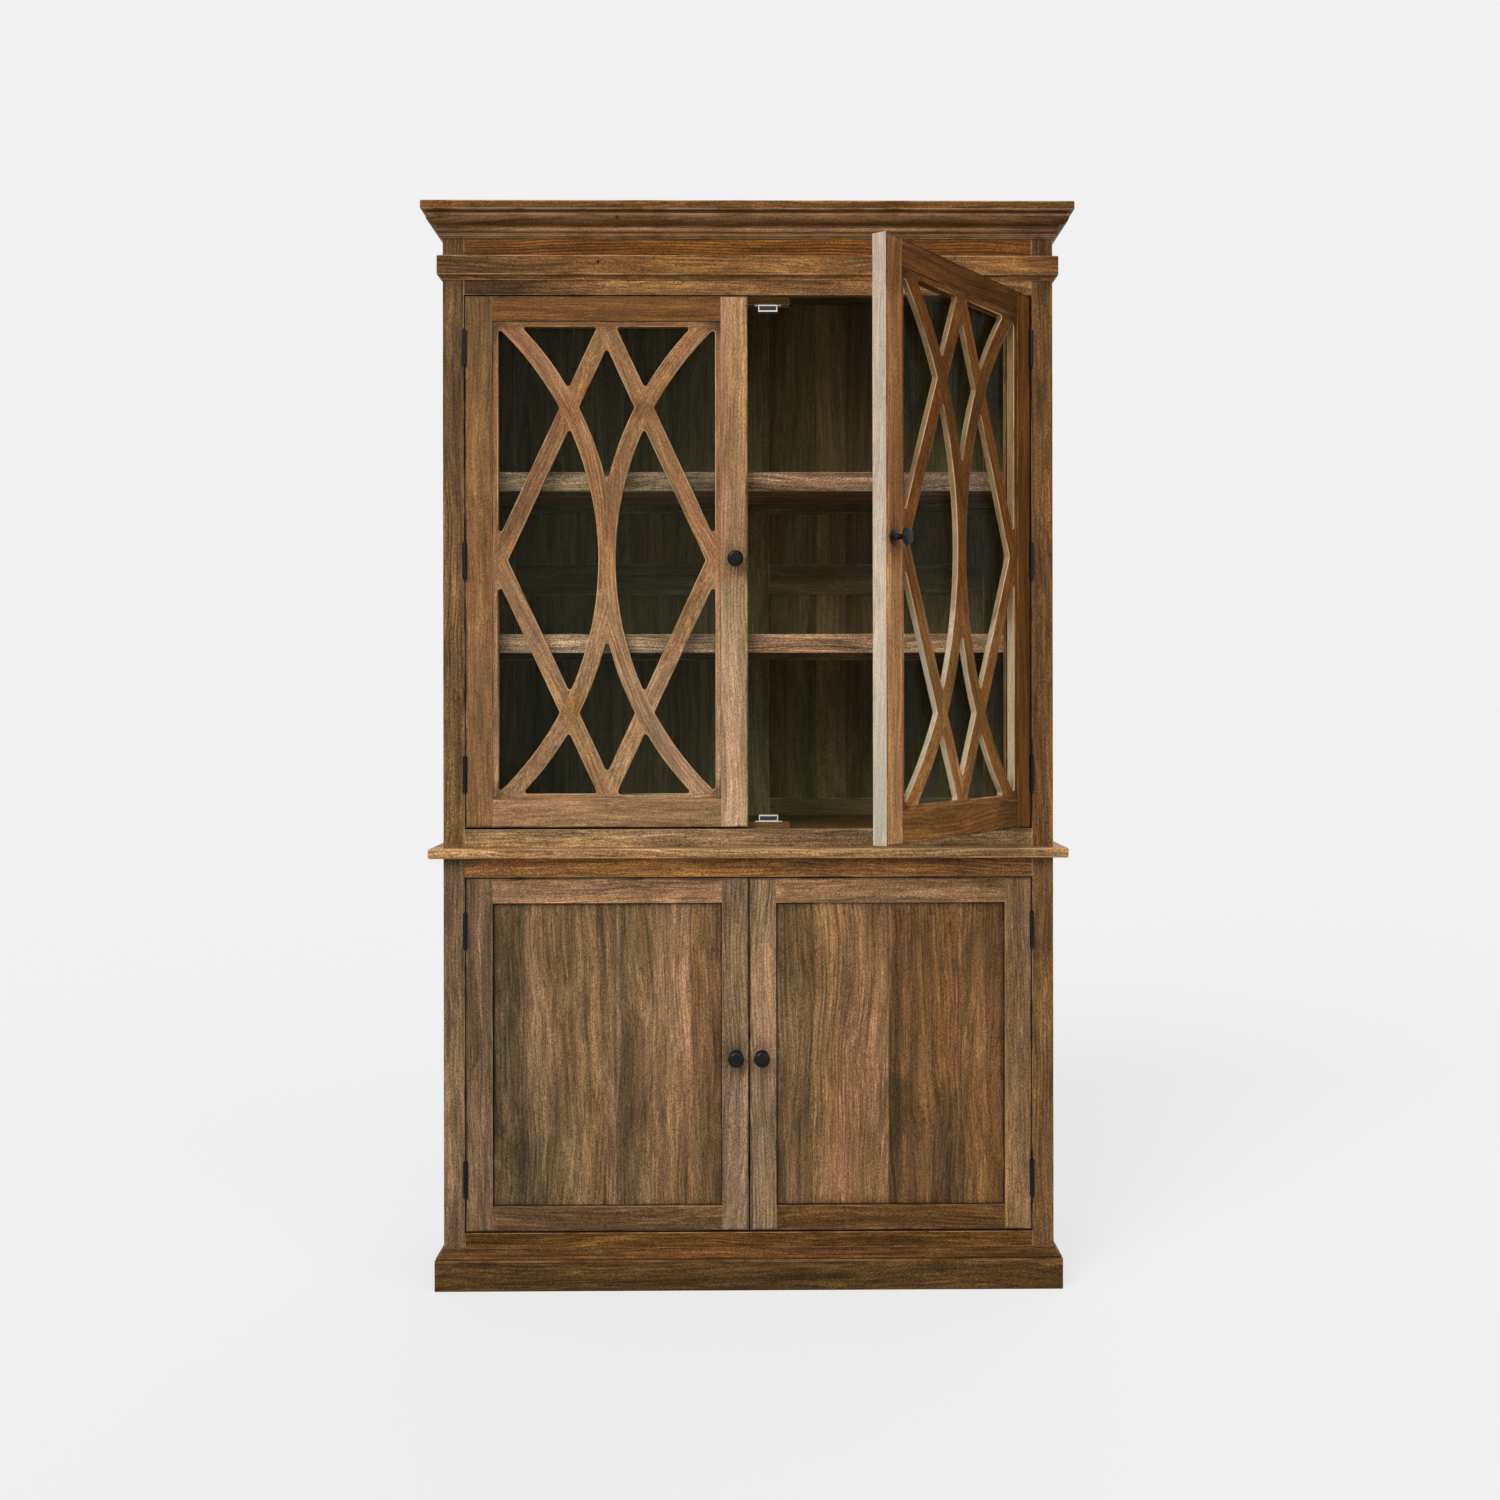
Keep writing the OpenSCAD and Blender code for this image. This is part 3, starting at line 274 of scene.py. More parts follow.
def wood(name, stains, grain="z", seams=(), across=0, board=0.0, rims=(), washes=(), reveals=(), halos=(),
         door=None, streaks=0.6, warmth=0.5, pores=0.7, figure=0.5, contrast=1.0, worn=0.0, lay=None,
         bare_side=None, bare_within=1.0, bare=0.85, bare_tone=(206, 207, 191), gloss=0.1):
    """A mango wood material. The boards part at the seams, along axis number across, each with its own
    stain. Washes are patches of other colour: their extent in x and z, how softly they end, and a tint.
    Some are changes in the stain, and some are painted light and shade. Reveals are the same on front
    faces alone, rims are painted shade along the edges of a box there, and halos dark marks round a
    point. Door is the hinge point and angle of a door that stands open. Lay, where it is given, works out
    the grain's own coordinates and board number from the place. Worn is how far the wood is rubbed paler
    in patches. Faces that look along the sanded and lit side, and lie nearer the middle than its limit,
    turn towards its tone by its share: partly bare sanded wood, and partly painted light where the lamp
    falls on them. Gloss is the specular level."""
    material, t = new_material(name)
    place = t.put("TexCoord", {}, out="Object")
    normal = place.node.outputs["Normal"]
    front = Vector((0.0, -1.0, 0.0))
    if door:
        hinge, angle = door
        turn = Matrix.Rotation(-angle, 3, "Z")
        front = turn.transposed() @ front
        inputs = {"Vector": place, "Location": hinge - turn @ hinge, "Rotation": (0.0, 0.0, -angle)}
        place = t.put("Mapping", inputs)
    number = board
    stain = linear(stains[0])
    coordinate = t.split(place)[across]
    for seam, next_stain in zip(seams, stains[1:]):
        beyond = t.maths("GREATER_THAN", coordinate, seam)
        number = t.maths("ADD", beyond, number)
        stain = t.mix(beyond, stain, linear(next_stain))
    if lay:
        along, part = lay(t, place)
        number = t.maths("ADD", part, number)
    else:
        along = t.put("Mapping", {"Vector": place, "Rotation": GRAIN_TURNS[grain]})
    inputs = {"Vector": along, "Board": number, "Streaks": streaks, "Warmth": warmth, "Pores": pores,
              "Figure": figure, "Contrast": contrast, "Stain": stain}
    shown = t.group(mango_wood, inputs)["Color"]
    surface = shown.node.outputs
    at_front = faces_along(t, normal, front)
    # Faces along this side are paler: partly bare sanded wood, partly painted light where the lamp falls.
    if bare_side:
        pale = t.maths("MULTIPLY", faces_along(t, normal, bare_side), bare)
        near = t.maths("LESS_THAN", t.maths("ABSOLUTE", t.split(place)[0]), bare_within)
        lines = t.step(t.noise(along, (60.0, 60.0, 2.5), detail=4.0, roughness=0.6), 0.3, 0.7, 0.86, 1.12)
        lines = t.maths("MULTIPLY", lines, t.step(surface["Height"], 0.16, 0.44, 0.8, 1.2))
        tone = t.mix(1.0, linear(bare_tone), t.join(lines, lines, lines), blend="MULTIPLY")
        sanded_and_lit_colour = t.mix(0.4, tone, surface["Color"])
        shown = t.mix(t.maths("MULTIPLY", pale, near), shown, sanded_and_lit_colour)
    for patches, faces in ((washes, 1.0), (reveals, at_front)):
        for across_x, up_z, reach, tint in patches:
            inputs = {"Vector": place, "Grain": along, "Low": (across_x[0], 0.0, up_z[0]),
                      "High": (across_x[1], 0.0, up_z[1]), "Reach": reach}
            inside = t.maths("MULTIPLY", t.group(board_marks, inputs)["Inside"], faces)
            shown = t.mix(inside, shown, (*tint, 1.0), blend="MULTIPLY")
    # Rims are painted shade in gaps and grooves; halos are handling dirt and nail holes.
    shade_and_grime = linear((24, 17, 9))
    for low, high, reach, strength in rims:
        inputs = {"Vector": place, "Grain": along, "Low": low, "High": high, "Reach": reach}
        rim = t.maths("MULTIPLY", t.group(board_marks, inputs)["Rim"], at_front)
        shown = t.mix(t.maths("MULTIPLY", rim, strength), shown, shade_and_grime)
    for centre, reach, strength in halos:
        mask = t.group(handling_marks, {"Vector": place, "Centre": centre, "Reach": reach})["Mask"]
        shown = t.mix(t.maths("MULTIPLY", mask, strength), shown, shade_and_grime)
    if worn:
        rubbed_tone = linear((206, 168, 126))
        patches = t.step(t.noise(place, (9.0, 9.0, 9.0), detail=4.0, roughness=0.65), 0.36, 0.62)
        shown = t.mix(t.maths("MULTIPLY", patches, worn), shown, rubbed_tone)
    bump = t.put("Bump", {"Height": surface["Height"], "Distance": 0.0005, "Strength": 0.6})
    inputs = {"Base Color": shown, "Roughness": surface["Roughness"], "Normal": bump,
              "Specular IOR Level": gloss}
    return finish(material, t.put("BsdfPrincipled", inputs))


def dress(node, material):
    """Puts a material on every slot of a CAD node."""
    piece = frame["nodes"][node]
    for place in piece.material_slots:
        place.material = material
    return piece


def ease_edges(piece, edge_material, width):
    """Merges the loose triangles of a CAD node, joins the flat ones, and rounds its sharp edges by the width.
    The narrow round takes the rubbed wood, which is the material after the last."""
    piece.data.materials.append(edge_material)
    weld = piece.modifiers.new("weld", "WELD")
    weld.merge_threshold = 0.00002
    flat = piece.modifiers.new("join_flat_faces", "DECIMATE")
    flat.decimate_type = "DISSOLVE"
    flat.angle_limit = math.radians(0.5)
    bevel = piece.modifiers.new("ease_edges", "BEVEL")
    bevel.width = width
    bevel.segments = 2
    bevel.limit_method = "ANGLE"
    bevel.angle_limit = math.radians(40)
    bevel.use_clamp_overlap = False
    bevel.material = len(piece.data.materials) - 1
    bevel.harden_normals = True


def dress_wood(node, slot, edge=0.001, worn=0.6, **look):
    """A CAD node in its own mango wood. Its edges are eased by the width of edge, and rubbed by worn."""
    face = wood(node + "_wood", **look)
    rubbed = wood(node + "_wood_worn", worn=worn, **look)
    ease_edges(dress(node, face), rubbed, edge)


dark_mango = (76, 55, 26)
bold_grain = 1.5
dress_wood("plinth_front", "moulding_wood", stains=(dark_mango,), grain="x", board=1.0, contrast=bold_grain,
           worn=0.3)
dress_wood("plinth_returns", "moulding_wood", stains=(dark_mango, dark_mango), grain="y", seams=(0.0,),
           board=3.0, contrast=bold_grain, worn=0.3)
inside_mango = (96, 83, 50)
dress_wood("plinth_bearers", "moulding_wood", stains=(inside_mango,), grain="x", board=5.0)

# Plinth cap
# A moulded strip of mango, mitred round the foot of the case.
# It is glued on the plinth boards and about as dark as they are.
dress_wood("plinth_cap", "moulding_wood", stains=((82, 55, 24),), grain="x", board=8.0, contrast=bold_grain,
           worn=0.25)

# Lower case
# Solid mango sides, with a face frame of two stiles and two rails glued to their front edges.
# The floor and the shelf inside keep a slightly darker stain than the sides and the back.
case_mango = (112, 86, 56)
dress_wood("lower_sides", "case_wood", stains=(case_mango, case_mango), seams=(0.0,), board=11.0, figure=0.25)
door_gap = 0.0038
shade_reach = 0.0008
deep_shade = (0.2, 0.17, 0.14)


def shaded_reveal(level):
    """The dark line round a door opening: front faces lie in shade inside the box of both doors, let out by
    the gap between door and frame."""
    low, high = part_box(level + "_left_stiles")
    across = -low.x + door_gap
    return (-across, across), (low.z - door_gap, high.z + door_gap), shade_reach, deep_shade


around_lower_doors = shaded_reveal("lower")
dress_wood("lower_stiles", "case_wood", stains=((116, 92, 65), (99, 74, 42)), seams=(0.0,), board=14.0,
           reveals=(around_lower_doors,), contrast=1.2)
dress_wood("lower_rails", "case_wood", stains=((90, 60, 24), (128, 89, 48)), grain="x", seams=(0.5,),
           across=2, board=17.0, reveals=(around_lower_doors,), contrast=bold_grain)
cupboard_mango = (106, 82, 51)
dress_wood("lower_bottom_board", "inside_wood", stains=(cupboard_mango,), grain="x", board=20.0)
dress_wood("lower_back_panel", "inside_wood", stains=(case_mango,), grain="z", board=21.0)
dress_wood("lower_shelf", "inside_wood", stains=(cupboard_mango,), grain="x", board=22.0)

# Waist slab
# One thick mango board with a moulded edge, stained paler than the rest.
# It covers the lower case and carries the upper one.
dress_wood("waist_slab", "moulding_wood", stains=((155, 117, 77),), grain="x", board=25.0,
           contrast=bold_grain)

# Upper case
# Sides, floor and ceiling of mango, and a face frame of two stiles and two rails. The frieze board closes it
# above the doors. Painted shade makes the stiles darker under the crown, and the wood is darker at
# the left end of the head rail.
# Painted shade under the crown, on the upper stiles.
shade_under_crown = ((-0.9, 0.9), (2.1, 2.5), 0.06, (0.66, 0.62, 0.58))
dress_wood("upper_sides", "case_wood", stains=(case_mango, case_mango), seams=(0.0,), board=28.0, figure=0.25)
around_upper_doors = shaded_reveal("upper")
dress_wood("upper_stiles", "case_wood", stains=((100, 76, 43), (105, 73, 41)), seams=(0.0,), board=31.0,
           washes=(shade_under_crown,), reveals=(around_upper_doors,), streaks=0.3, contrast=1.3)
left_end_of_head = ((-0.9, -0.46), (1.8, 2.5), 0.09, (0.4, 0.38, 0.35))
dress_wood("upper_rails", "case_wood", stains=((124, 98, 67), (115, 83, 48)), grain="x", seams=(1.5,),
           across=2, board=34.0, washes=(left_end_of_head,), reveals=(around_upper_doors,),
           contrast=bold_grain)
# The floor board is darker, partly by its stain and partly by painted shade deep in the cupboard.
dress_wood("upper_bottom_board", "inside_wood", stains=((76, 59, 32),), grain="x", board=37.0)
dress_wood("upper_top_board", "inside_wood", stains=((106, 91, 60),), grain="x", board=38.0)
pale_frieze = ((-0.23, 0.9), (2.1, 2.5), 0.06, (1.2, 1.2, 1.2))
dress_wood("frieze_board", "case_wood", stains=((99, 61, 16),), grain="x", board=39.0, figure=1.0, warmth=0.9,
           washes=(pale_frieze,), contrast=1.3)

# Back of the upper case
# A frame of stiles, a muntin and rails, with thin panels in its grooves. The faces inside keep an olive
# stain, which is darkest at the foot of the right-hand panels.
inside_look = {"streaks": 0.25, "warmth": 0.3, "pores": 0.4, "figure": 0.15, "contrast": 0.8}
stained_inside = ((-2.0, 2.0), (-1.0, 3.0), 0.05, (0.73, 1.0, 0.92))
pale_back = (135, 99, 62)
deep_back = (108, 79, 49)
dark_foot = ((-0.06, 0.9), (0.7, 1.36), 0.05, (0.72, 0.76, 0.7))
dress_wood("back_stiles", "inside_wood", stains=(case_mango,) * 3, seams=(-0.3, 0.3), board=42.0,
           reveals=(stained_inside,), **inside_look)
dress_wood("back_rails", "inside_wood", stains=(case_mango,) * 3, grain="x", seams=(1.2, 1.9), across=2,
           board=46.0, reveals=(stained_inside,), **inside_look)
back_seams = (-0.3, -0.1, 0.0, 0.09, 0.16, 0.23, 0.4)
back_stains = (case_mango, deep_back, case_mango, deep_back, case_mango, pale_back, deep_back, case_mango)
dress_wood("back_panels", "inside_wood", stains=back_stains, seams=back_seams, board=50.0,
           reveals=(stained_inside, dark_foot), **inside_look)

# Shelves and their cleats
# Two mango boards with a deep lip glued along the front.
# They lie on cleats that are screwed to the sides and the back.
dress_wood("middle_shelf", "shelf_wood", stains=((147, 113, 82),), grain="x", board=57.0, contrast=bold_grain)
dress_wood("upper_shelf", "shelf_wood", stains=((124, 99, 70),), grain="x", board=58.0, contrast=bold_grain)
dress_wood("shelf_cleats", "inside_wood", stains=(inside_mango,), grain="x", board=59.0)


def turned_back(point, door):
    """Where a point of a closed door lies when the door stands open by its angle."""
    if not door:
        return Vector(point)
    hinge, angle = door
    return hinge + Matrix.Rotation(angle, 3, "Z") @ (Vector(point) - hinge)


def close_poles(mesh):
    """Merges the points that share a place at the poles, and turns the faces outwards."""
    work = bmesh.new()
    work.from_mesh(mesh)
    bmesh.ops.remove_doubles(work, verts=work.verts, dist=0.000001)
    bmesh.ops.recalc_face_normals(work, faces=work.faces)
    work.to_mesh(mesh)
    work.free()
    mesh.shade_smooth()


def heads(name, places, facing, radius, material, body, door=None):
    """Heads of screws at the places, all facing the same way, as one mesh.
    The first parameter runs from the middle of the top over a low dome, down the rim and back to the middle
    below, and the second is the angle. In shares of the radius, the dome's level is close to 0.32 times
    (1 - r cubed), and a cross recess lowers it where x or y is small."""
    share = np.array([0.0, 0.14, 0.28, 0.42, 0.56, 0.7, 0.85, 1.0, 1.0, 0.0])
    level = np.array([0.32, 0.32, 0.31, 0.3, 0.27, 0.22, 0.14, 0.0, -0.5, -0.5])
    recess_depth = 0.5
    angle = np.linspace(0.0, 2 * np.pi, 32, endpoint=False)
    across = share[:, None] * np.cos(angle)
    upwards = share[:, None] * np.sin(angle)

    def near(value, inner, outer):
        """1 where the value is small, falling smoothly to 0."""
        fall = np.clip((outer - np.abs(value)) / (outer - inner), 0.0, 1.0)
        return fall * fall * (3 - 2 * fall)

    slots = np.maximum(near(across, 0.1, 0.2) * near(upwards, 0.5, 0.6),
                       near(upwards, 0.1, 0.2) * near(across, 0.5, 0.6))
    on_top = (level > 0.05)[:, None]
    height = level[:, None] - recess_depth * slots * on_top
    out = turned_back(facing, (Vector(), door[1]) if door else None).normalized()
    side = out.cross(Vector((0.0, 0.0, 1.0)) if abs(out.z) < 0.9 else Vector((1.0, 0.0, 0.0))).normalized()
    up = out.cross(side)
    head_axes = np.array([side, up, out])
    shape = np.stack([across, upwards, np.broadcast_to(height, across.shape)], axis=-1) * radius
    origins = np.array([turned_back(place, door) for place in places])
    points = (shape.reshape(-1, 3) @ head_axes)[None] + origins[:, None]
    rings, steps = len(share), len(angle)
    ring, step = np.meshgrid(np.arange(rings - 1), np.arange(steps), indexing="ij")
    after = (step + 1) % steps
    quads = np.stack([ring * steps + step, (ring + 1) * steps + step, (ring + 1) * steps + after,
                      ring * steps + after], axis=-1).reshape(-1, 4)
    quads = quads[None] + (np.arange(len(origins)) * rings * steps)[:, None, None]
    mesh = bpy.data.meshes.new(name)
    mesh.from_pydata(points.reshape(-1, 3), [], quads.reshape(-1, 4))
    piece = bpy.data.objects.new(name, mesh)
    scene.collection.objects.link(piece)
    close_poles(mesh)
    mesh.materials.append(material)
    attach(piece, body)


def metal(name, colour, worn_colour, roughness, metallic, scratches, coat=0.0, gloss=0.5, core=None):
    """A metal finish: a base colour with patches of a worn one, laid on by a noise, and fine scratches in its
    roughness. Core gives the mask of a dark ferrite core from the place, coat is the weight of a thin clear
    lacquer, and gloss is the specular level."""
    material, t = new_material(name)
    place = t.put("TexCoord", {}, out="Object")
    patches = t.step(t.noise(place, (160.0, 160.0, 160.0), detail=4.0, roughness=0.7), 0.52, 0.7)
    lines = t.noise(place, (900.0, 900.0, 90.0), detail=2.0)
    shown = t.mix(patches, linear(colour), linear(worn_colour))
    rough = t.maths("MULTIPLY_ADD", lines, scratches, roughness)
    bump = t.put("Bump", {"Height": lines, "Distance": 0.0001, "Strength": 0.3})
    inputs = {"Base Color": shown, "Roughness": rough, "Metallic": metallic, "Normal": bump,
              "Coat Weight": coat, "Coat Roughness": 0.1, "Specular IOR Level": gloss}
    if core:
        ferrite = linear((26, 24, 22))
        inside = core(t, place)
        inputs["Base Color"] = t.mix(inside, shown, ferrite)
        inputs["Metallic"] = t.maths("MULTIPLY_ADD", inside, -metallic, metallic)
    return finish(material, t.put("BsdfPrincipled", inputs))


dull_steel = metal("dull_steel", colour=(70, 66, 58), worn_colour=(96, 90, 80), roughness=0.4, metallic=1.0,
                   scratches=0.2)
cleat_screw_radius = 0.0042
cleat_levels = (1.357, 1.705)
rear_cleat_y = 0.185
rear_screw_x = (-0.5, 0.0, 0.5)
rear_places = [(x, rear_cleat_y, z) for z in cleat_levels for x in rear_screw_x]
heads("rear_cleat_screws", rear_places, (0, -1, 0), cleat_screw_radius, dull_steel, "cabinet")
side_cleat_x = 0.608
side_screw_y = (-0.12, 0.02, 0.14)
for label, side in (("left", -1), ("right", 1)):
    side_places = [(side * side_cleat_x, y, z) for z in cleat_levels for y in side_screw_y]
    heads(label + "_cleat_screws", side_places, (-side, 0, 0), cleat_screw_radius, dull_steel,
          "cabinet")

# Neck moulding, crown moulding and top
# Two mango mouldings, each in three runs that are mitred at the front corners and nailed to the case, under a
# thick top board. One nail hole shows in each, and a painted highlight lies on the crown's lower bead.
neck_mango = (114, 80, 40)
left_end = ((-0.9, -0.5), (1.8, 2.6), 0.07, (0.7, 0.7, 0.72))
right_end = ((0.58, 0.9), (1.8, 2.6), 0.05, (0.66, 0.6, 0.6))
nail_hole = (0.004, 1.0)
neck_nail = (-0.3177, 0.0, 2.1776)
dress_wood("neck_moulding", "moulding_wood", stains=(neck_mango,), grain="x", board=62.0, figure=1.0,
           contrast=1.3, washes=(left_end, right_end), halos=((neck_nail, *nail_hole),))
# A painted highlight on the crown's lower bead.
bead_highlight = ((-1.0, 1.0), (2.237, 2.2495), 0.0012, (1.5, 1.6, 1.9))
crown_nail = (-0.2755, 0.0, 2.266)
dress_wood("crown_moulding", "moulding_wood", stains=((106, 76, 43),), grain="x", board=65.0,
           washes=(bead_highlight, right_end), halos=((crown_nail, *nail_hole),))
dress_wood("cornice_top", "moulding_wood", stains=((103, 68, 28),), grain="x", board=68.0,
           contrast=bold_grain)

# Catch blocks and magnetic catches
# Wooden blocks glued behind the frame, at the head and foot of the glazed doors and the head of the cupboard.
# Each carries two bright steel cups with a magnet in them, one for each door, and two screws hold each cup.
dress_wood("catch_blocks", "case_wood", stains=(neck_mango,), grain="x", board=71.0)

polished = {"colour": (214, 212, 206), "worn_colour": (176, 172, 164), "roughness": 0.2, "metallic": 1.0,
            "scratches": 0.2}
bright_steel = metal("bright_steel", **polished)
catch_x = 0.042
pocket_half = (0.0182, 0.0046)
strike_half_height = 0.006
lowest_strike, highest_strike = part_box("upper_left_strikes")
upper_strike_y = highest_strike.y
upper_catch_levels = (lowest_strike.z + strike_half_height, highest_strike.z - strike_half_height)
lowest_strike, highest_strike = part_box("lower_left_strike")
lower_strike_y = highest_strike.y
lower_catch_levels = (lowest_strike.z + strike_half_height,)


def magnet_core(t, place):
    """1 inside the pocket of a catch, where its magnet and keepers are, and 0 on the bright cup round it."""
    x, _, z = t.split(place)
    off_x = t.maths("ABSOLUTE", t.maths("SUBTRACT", t.maths("ABSOLUTE", x), catch_x))
    catch_levels = upper_catch_levels + lower_catch_levels
    off_z = [t.maths("ABSOLUTE", t.maths("SUBTRACT", z, level)) for level in catch_levels]
    off_z = t.maths("MINIMUM", off_z[0], t.maths("MINIMUM", off_z[1], off_z[2]))
    return t.maths("MULTIPLY", t.maths("LESS_THAN", off_x, pocket_half[0]),
                   t.maths("LESS_THAN", off_z, pocket_half[1]))


dress("magnetic_catches", metal("catch_steel", core=magnet_core, **polished))
catch_screw_radius = 0.0026
ear_offset = 0.0245
ear_thickness = 0.0016
catch_half_depth = 0.01
glazed_door_extra = 0.006
lower_catch_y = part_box("magnetic_catches")[0].y + catch_half_depth
upper_catch_y = lower_catch_y + glazed_door_extra
block_faces = ((2.097, -1, upper_catch_y), (0.988, 1, upper_catch_y), (0.86, -1, lower_catch_y))
for block_z, up, catch_y in block_faces:
    ear_z = block_z + up * ear_thickness
    spots = [(side * catch_x + end * ear_offset, catch_y, ear_z) for side in (-1, 1) for end in (-1, 1)]
    heads(f"catch_screws_{round(block_z * 1000)}", spots, (0, 0, up), catch_screw_radius, bright_steel,
          "cabinet")

# Hinges
# Black iron butt hinges, three on each glazed door and two on each cupboard door. Their leaves are let into
# the frame and the door with three screws each, and their knuckles turn on a loose pin.
black_iron = metal("black_iron", colour=(9, 9, 10), worn_colour=(22, 22, 22), roughness=0.3, metallic=0.0,
                   scratches=0.2, coat=0.12, gloss=0.12)
dress("hinge_frame_leaves", black_iron)
dress("hinge_pins", black_iron)
hinge_half = 0.038
low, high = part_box("upper_left_hinge_leaves")
upper_hinges = (low.z + hinge_half, (low.z + high.z) / 2, high.z - hinge_half)
low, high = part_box("lower_left_hinge_leaves")
lower_hinges = (low.z + hinge_half, high.z - hinge_half)
leaf_screw_radius = 0.0033
leaf_screw_y = -0.2135
leaf_screw_spread = 0.025
frame_leaf_x = 0.603
door_leaf_x = 0.6005


def leaf_screws(name, x, facing, hinges, body, door=None):
    """Three countersunk screws down the middle of each leaf."""
    spots = [(x, leaf_screw_y, z + step * leaf_screw_spread) for z in hinges for step in (-1, 0, 1)]
    heads(name, spots, facing, leaf_screw_radius, black_iron, body, door=door)


for label, side in (("left", -1), ("right", 1)):
    leaf_screws(label + "_frame_screws", side * frame_leaf_x, (-side, 0, 0), upper_hinges + lower_hinges,
                "cabinet")

# Glazed doors
# Two stiles and two rails, tenoned together, with a sawn lattice in the rebate and clear glass held behind
# it by beads. The right door stands open, so its wood is turned back to the closed door to lay its grain.
lattice_low, lattice_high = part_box("upper_left_lattice")
door_centre_x = round(-(lattice_low.x + lattice_high.x) / 2, 5)
pane_centre_z = round((lattice_low.z + lattice_high.z) / 2, 5)
hole_half = (round((lattice_high.x - lattice_low.x) / 2, 5), round((lattice_high.z - lattice_low.z) / 2, 5))
bar_half = 0.01825
strip_width = 0.012
diamond_half = (hole_half[0] - strip_width, hole_half[1] - strip_width)
arc_radius = 0.7


def lattice_lay(side):
    """The grain of the lattice: it runs along each bar, and each kind of bar is another part of the tree.
    With u and w the distances from the pane's centre, a diamond bar lies where |u|/a + |w|/b = 1, and an arc
    where the distance from the point (R, 0) to (|u|, w) is R. The strip round them runs along its edge."""
    def lay(t, place):
        x, y, z = t.split(place)
        u = t.maths("SUBTRACT", x, side * door_centre_x)
        w = t.maths("SUBTRACT", z, pane_centre_z)
        u_size = t.maths("ABSOLUTE", u)
        w_size = t.maths("ABSOLUTE", w)
        long_side = math.hypot(*diamond_half)
        sine = diamond_half[0] / long_side
        cosine = diamond_half[1] / long_side
        bar_across = t.maths("ADD", t.maths("MULTIPLY", u_size, cosine), t.maths("MULTIPLY", w_size, sine))
        bar_along = t.maths("SUBTRACT", t.maths("MULTIPLY", w_size, cosine),
                            t.maths("MULTIPLY", u_size, sine))
        inward = t.maths("SUBTRACT", arc_radius, u_size)
        squares = t.maths("ADD", t.maths("MULTIPLY", inward, inward), t.maths("MULTIPLY", w, w))
        arc_across = t.maths("SUBTRACT", t.maths("SQRT", squares), arc_radius)
        arc_along = t.maths("MULTIPLY", t.maths("ARCTAN2", w, inward), arc_radius)
        on_arc = t.maths("LESS_THAN", t.maths("ABSOLUTE", arc_across), bar_half)
        in_side_strip = t.maths("GREATER_THAN", u_size, diamond_half[0])
        in_end_strip = t.maths("GREATER_THAN", w_size, diamond_half[1])
        slant_u, slant_w = 0.35, 0.15
        depth = t.maths("MULTIPLY_ADD", u, slant_u, t.maths("MULTIPLY_ADD", w, slant_w, y))
        diamond = t.join(bar_across, depth, bar_along)
        arc = t.join(arc_across, depth, arc_along)
        upright = t.join(x, y, z)
        lying = t.join(z, y, x)
        along = t.mix(on_arc, diamond, arc)
        along = t.mix(in_side_strip, along, upright)
        along = t.mix(in_end_strip, along, lying)
        part = t.maths("MULTIPLY_ADD", in_side_strip, 2.0, on_arc)
        part = t.maths("MULTIPLY_ADD", in_end_strip, 4.0, part)
        return along, part
    return lay


def clear_glass(name, bending):
    """Clear window glass, faintly tinted, that lets the light of lamps through to the shelves. The lower its
    bending index, the less it mirrors."""
    material, t = new_material(name)
    place = t.put("TexCoord", {}, out="Object")
    smears = t.noise(place, (5.0, 5.0, 2.0), detail=4.0, roughness=0.6)
    rough = t.step(smears, 0.4, 0.8, 0.0, 0.02)
    tint = linear((232, 242, 243))
    inputs = {"Base Color": tint, "Roughness": rough, "Transmission Weight": 1.0, "IOR": bending}
    body = t.put("BsdfPrincipled", inputs)
    passing = t.put("BsdfTransparent", {"Color": tint})
    shadow = t.put("LightPath", {}, out="Is Shadow Ray")
    return finish(material, t.put("MixShader", {0: shadow, 1: body, 2: passing}))


def gap_shade(low, high):
    """Painted shade along a door's rims beside its gap: a soft wide band, and a full one at the very edge."""
    return (low, high, 0.0045, 0.8), (low, high, 0.0024, 1.0)


def closed_box(side):
    """The box of a glazed door as it hangs when closed. The right one's is the left one's mirror image."""
    low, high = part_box("upper_left_stiles")
    if side < 0:
        return low, high
    return Vector((-high.x, low.y, low.z)), Vector((-low.x, high.y, high.z))


strike_screw_radius = 0.0022
strike_screw_spread = 0.013
strike_screw_sunk = 0.0005


def strike_screws(prefix, side, strike_y, levels, door=None):
    """Two screws in each strike plate, sunk in it so that they clear the magnets."""
    spots = [(side * (catch_x + end * strike_screw_spread), strike_y - strike_screw_sunk, z)
             for end in (-1, 1) for z in levels]
    heads(prefix + "strike_screws", spots, (0, 1, 0), strike_screw_radius, bright_steel,
          prefix + "door", door=door)
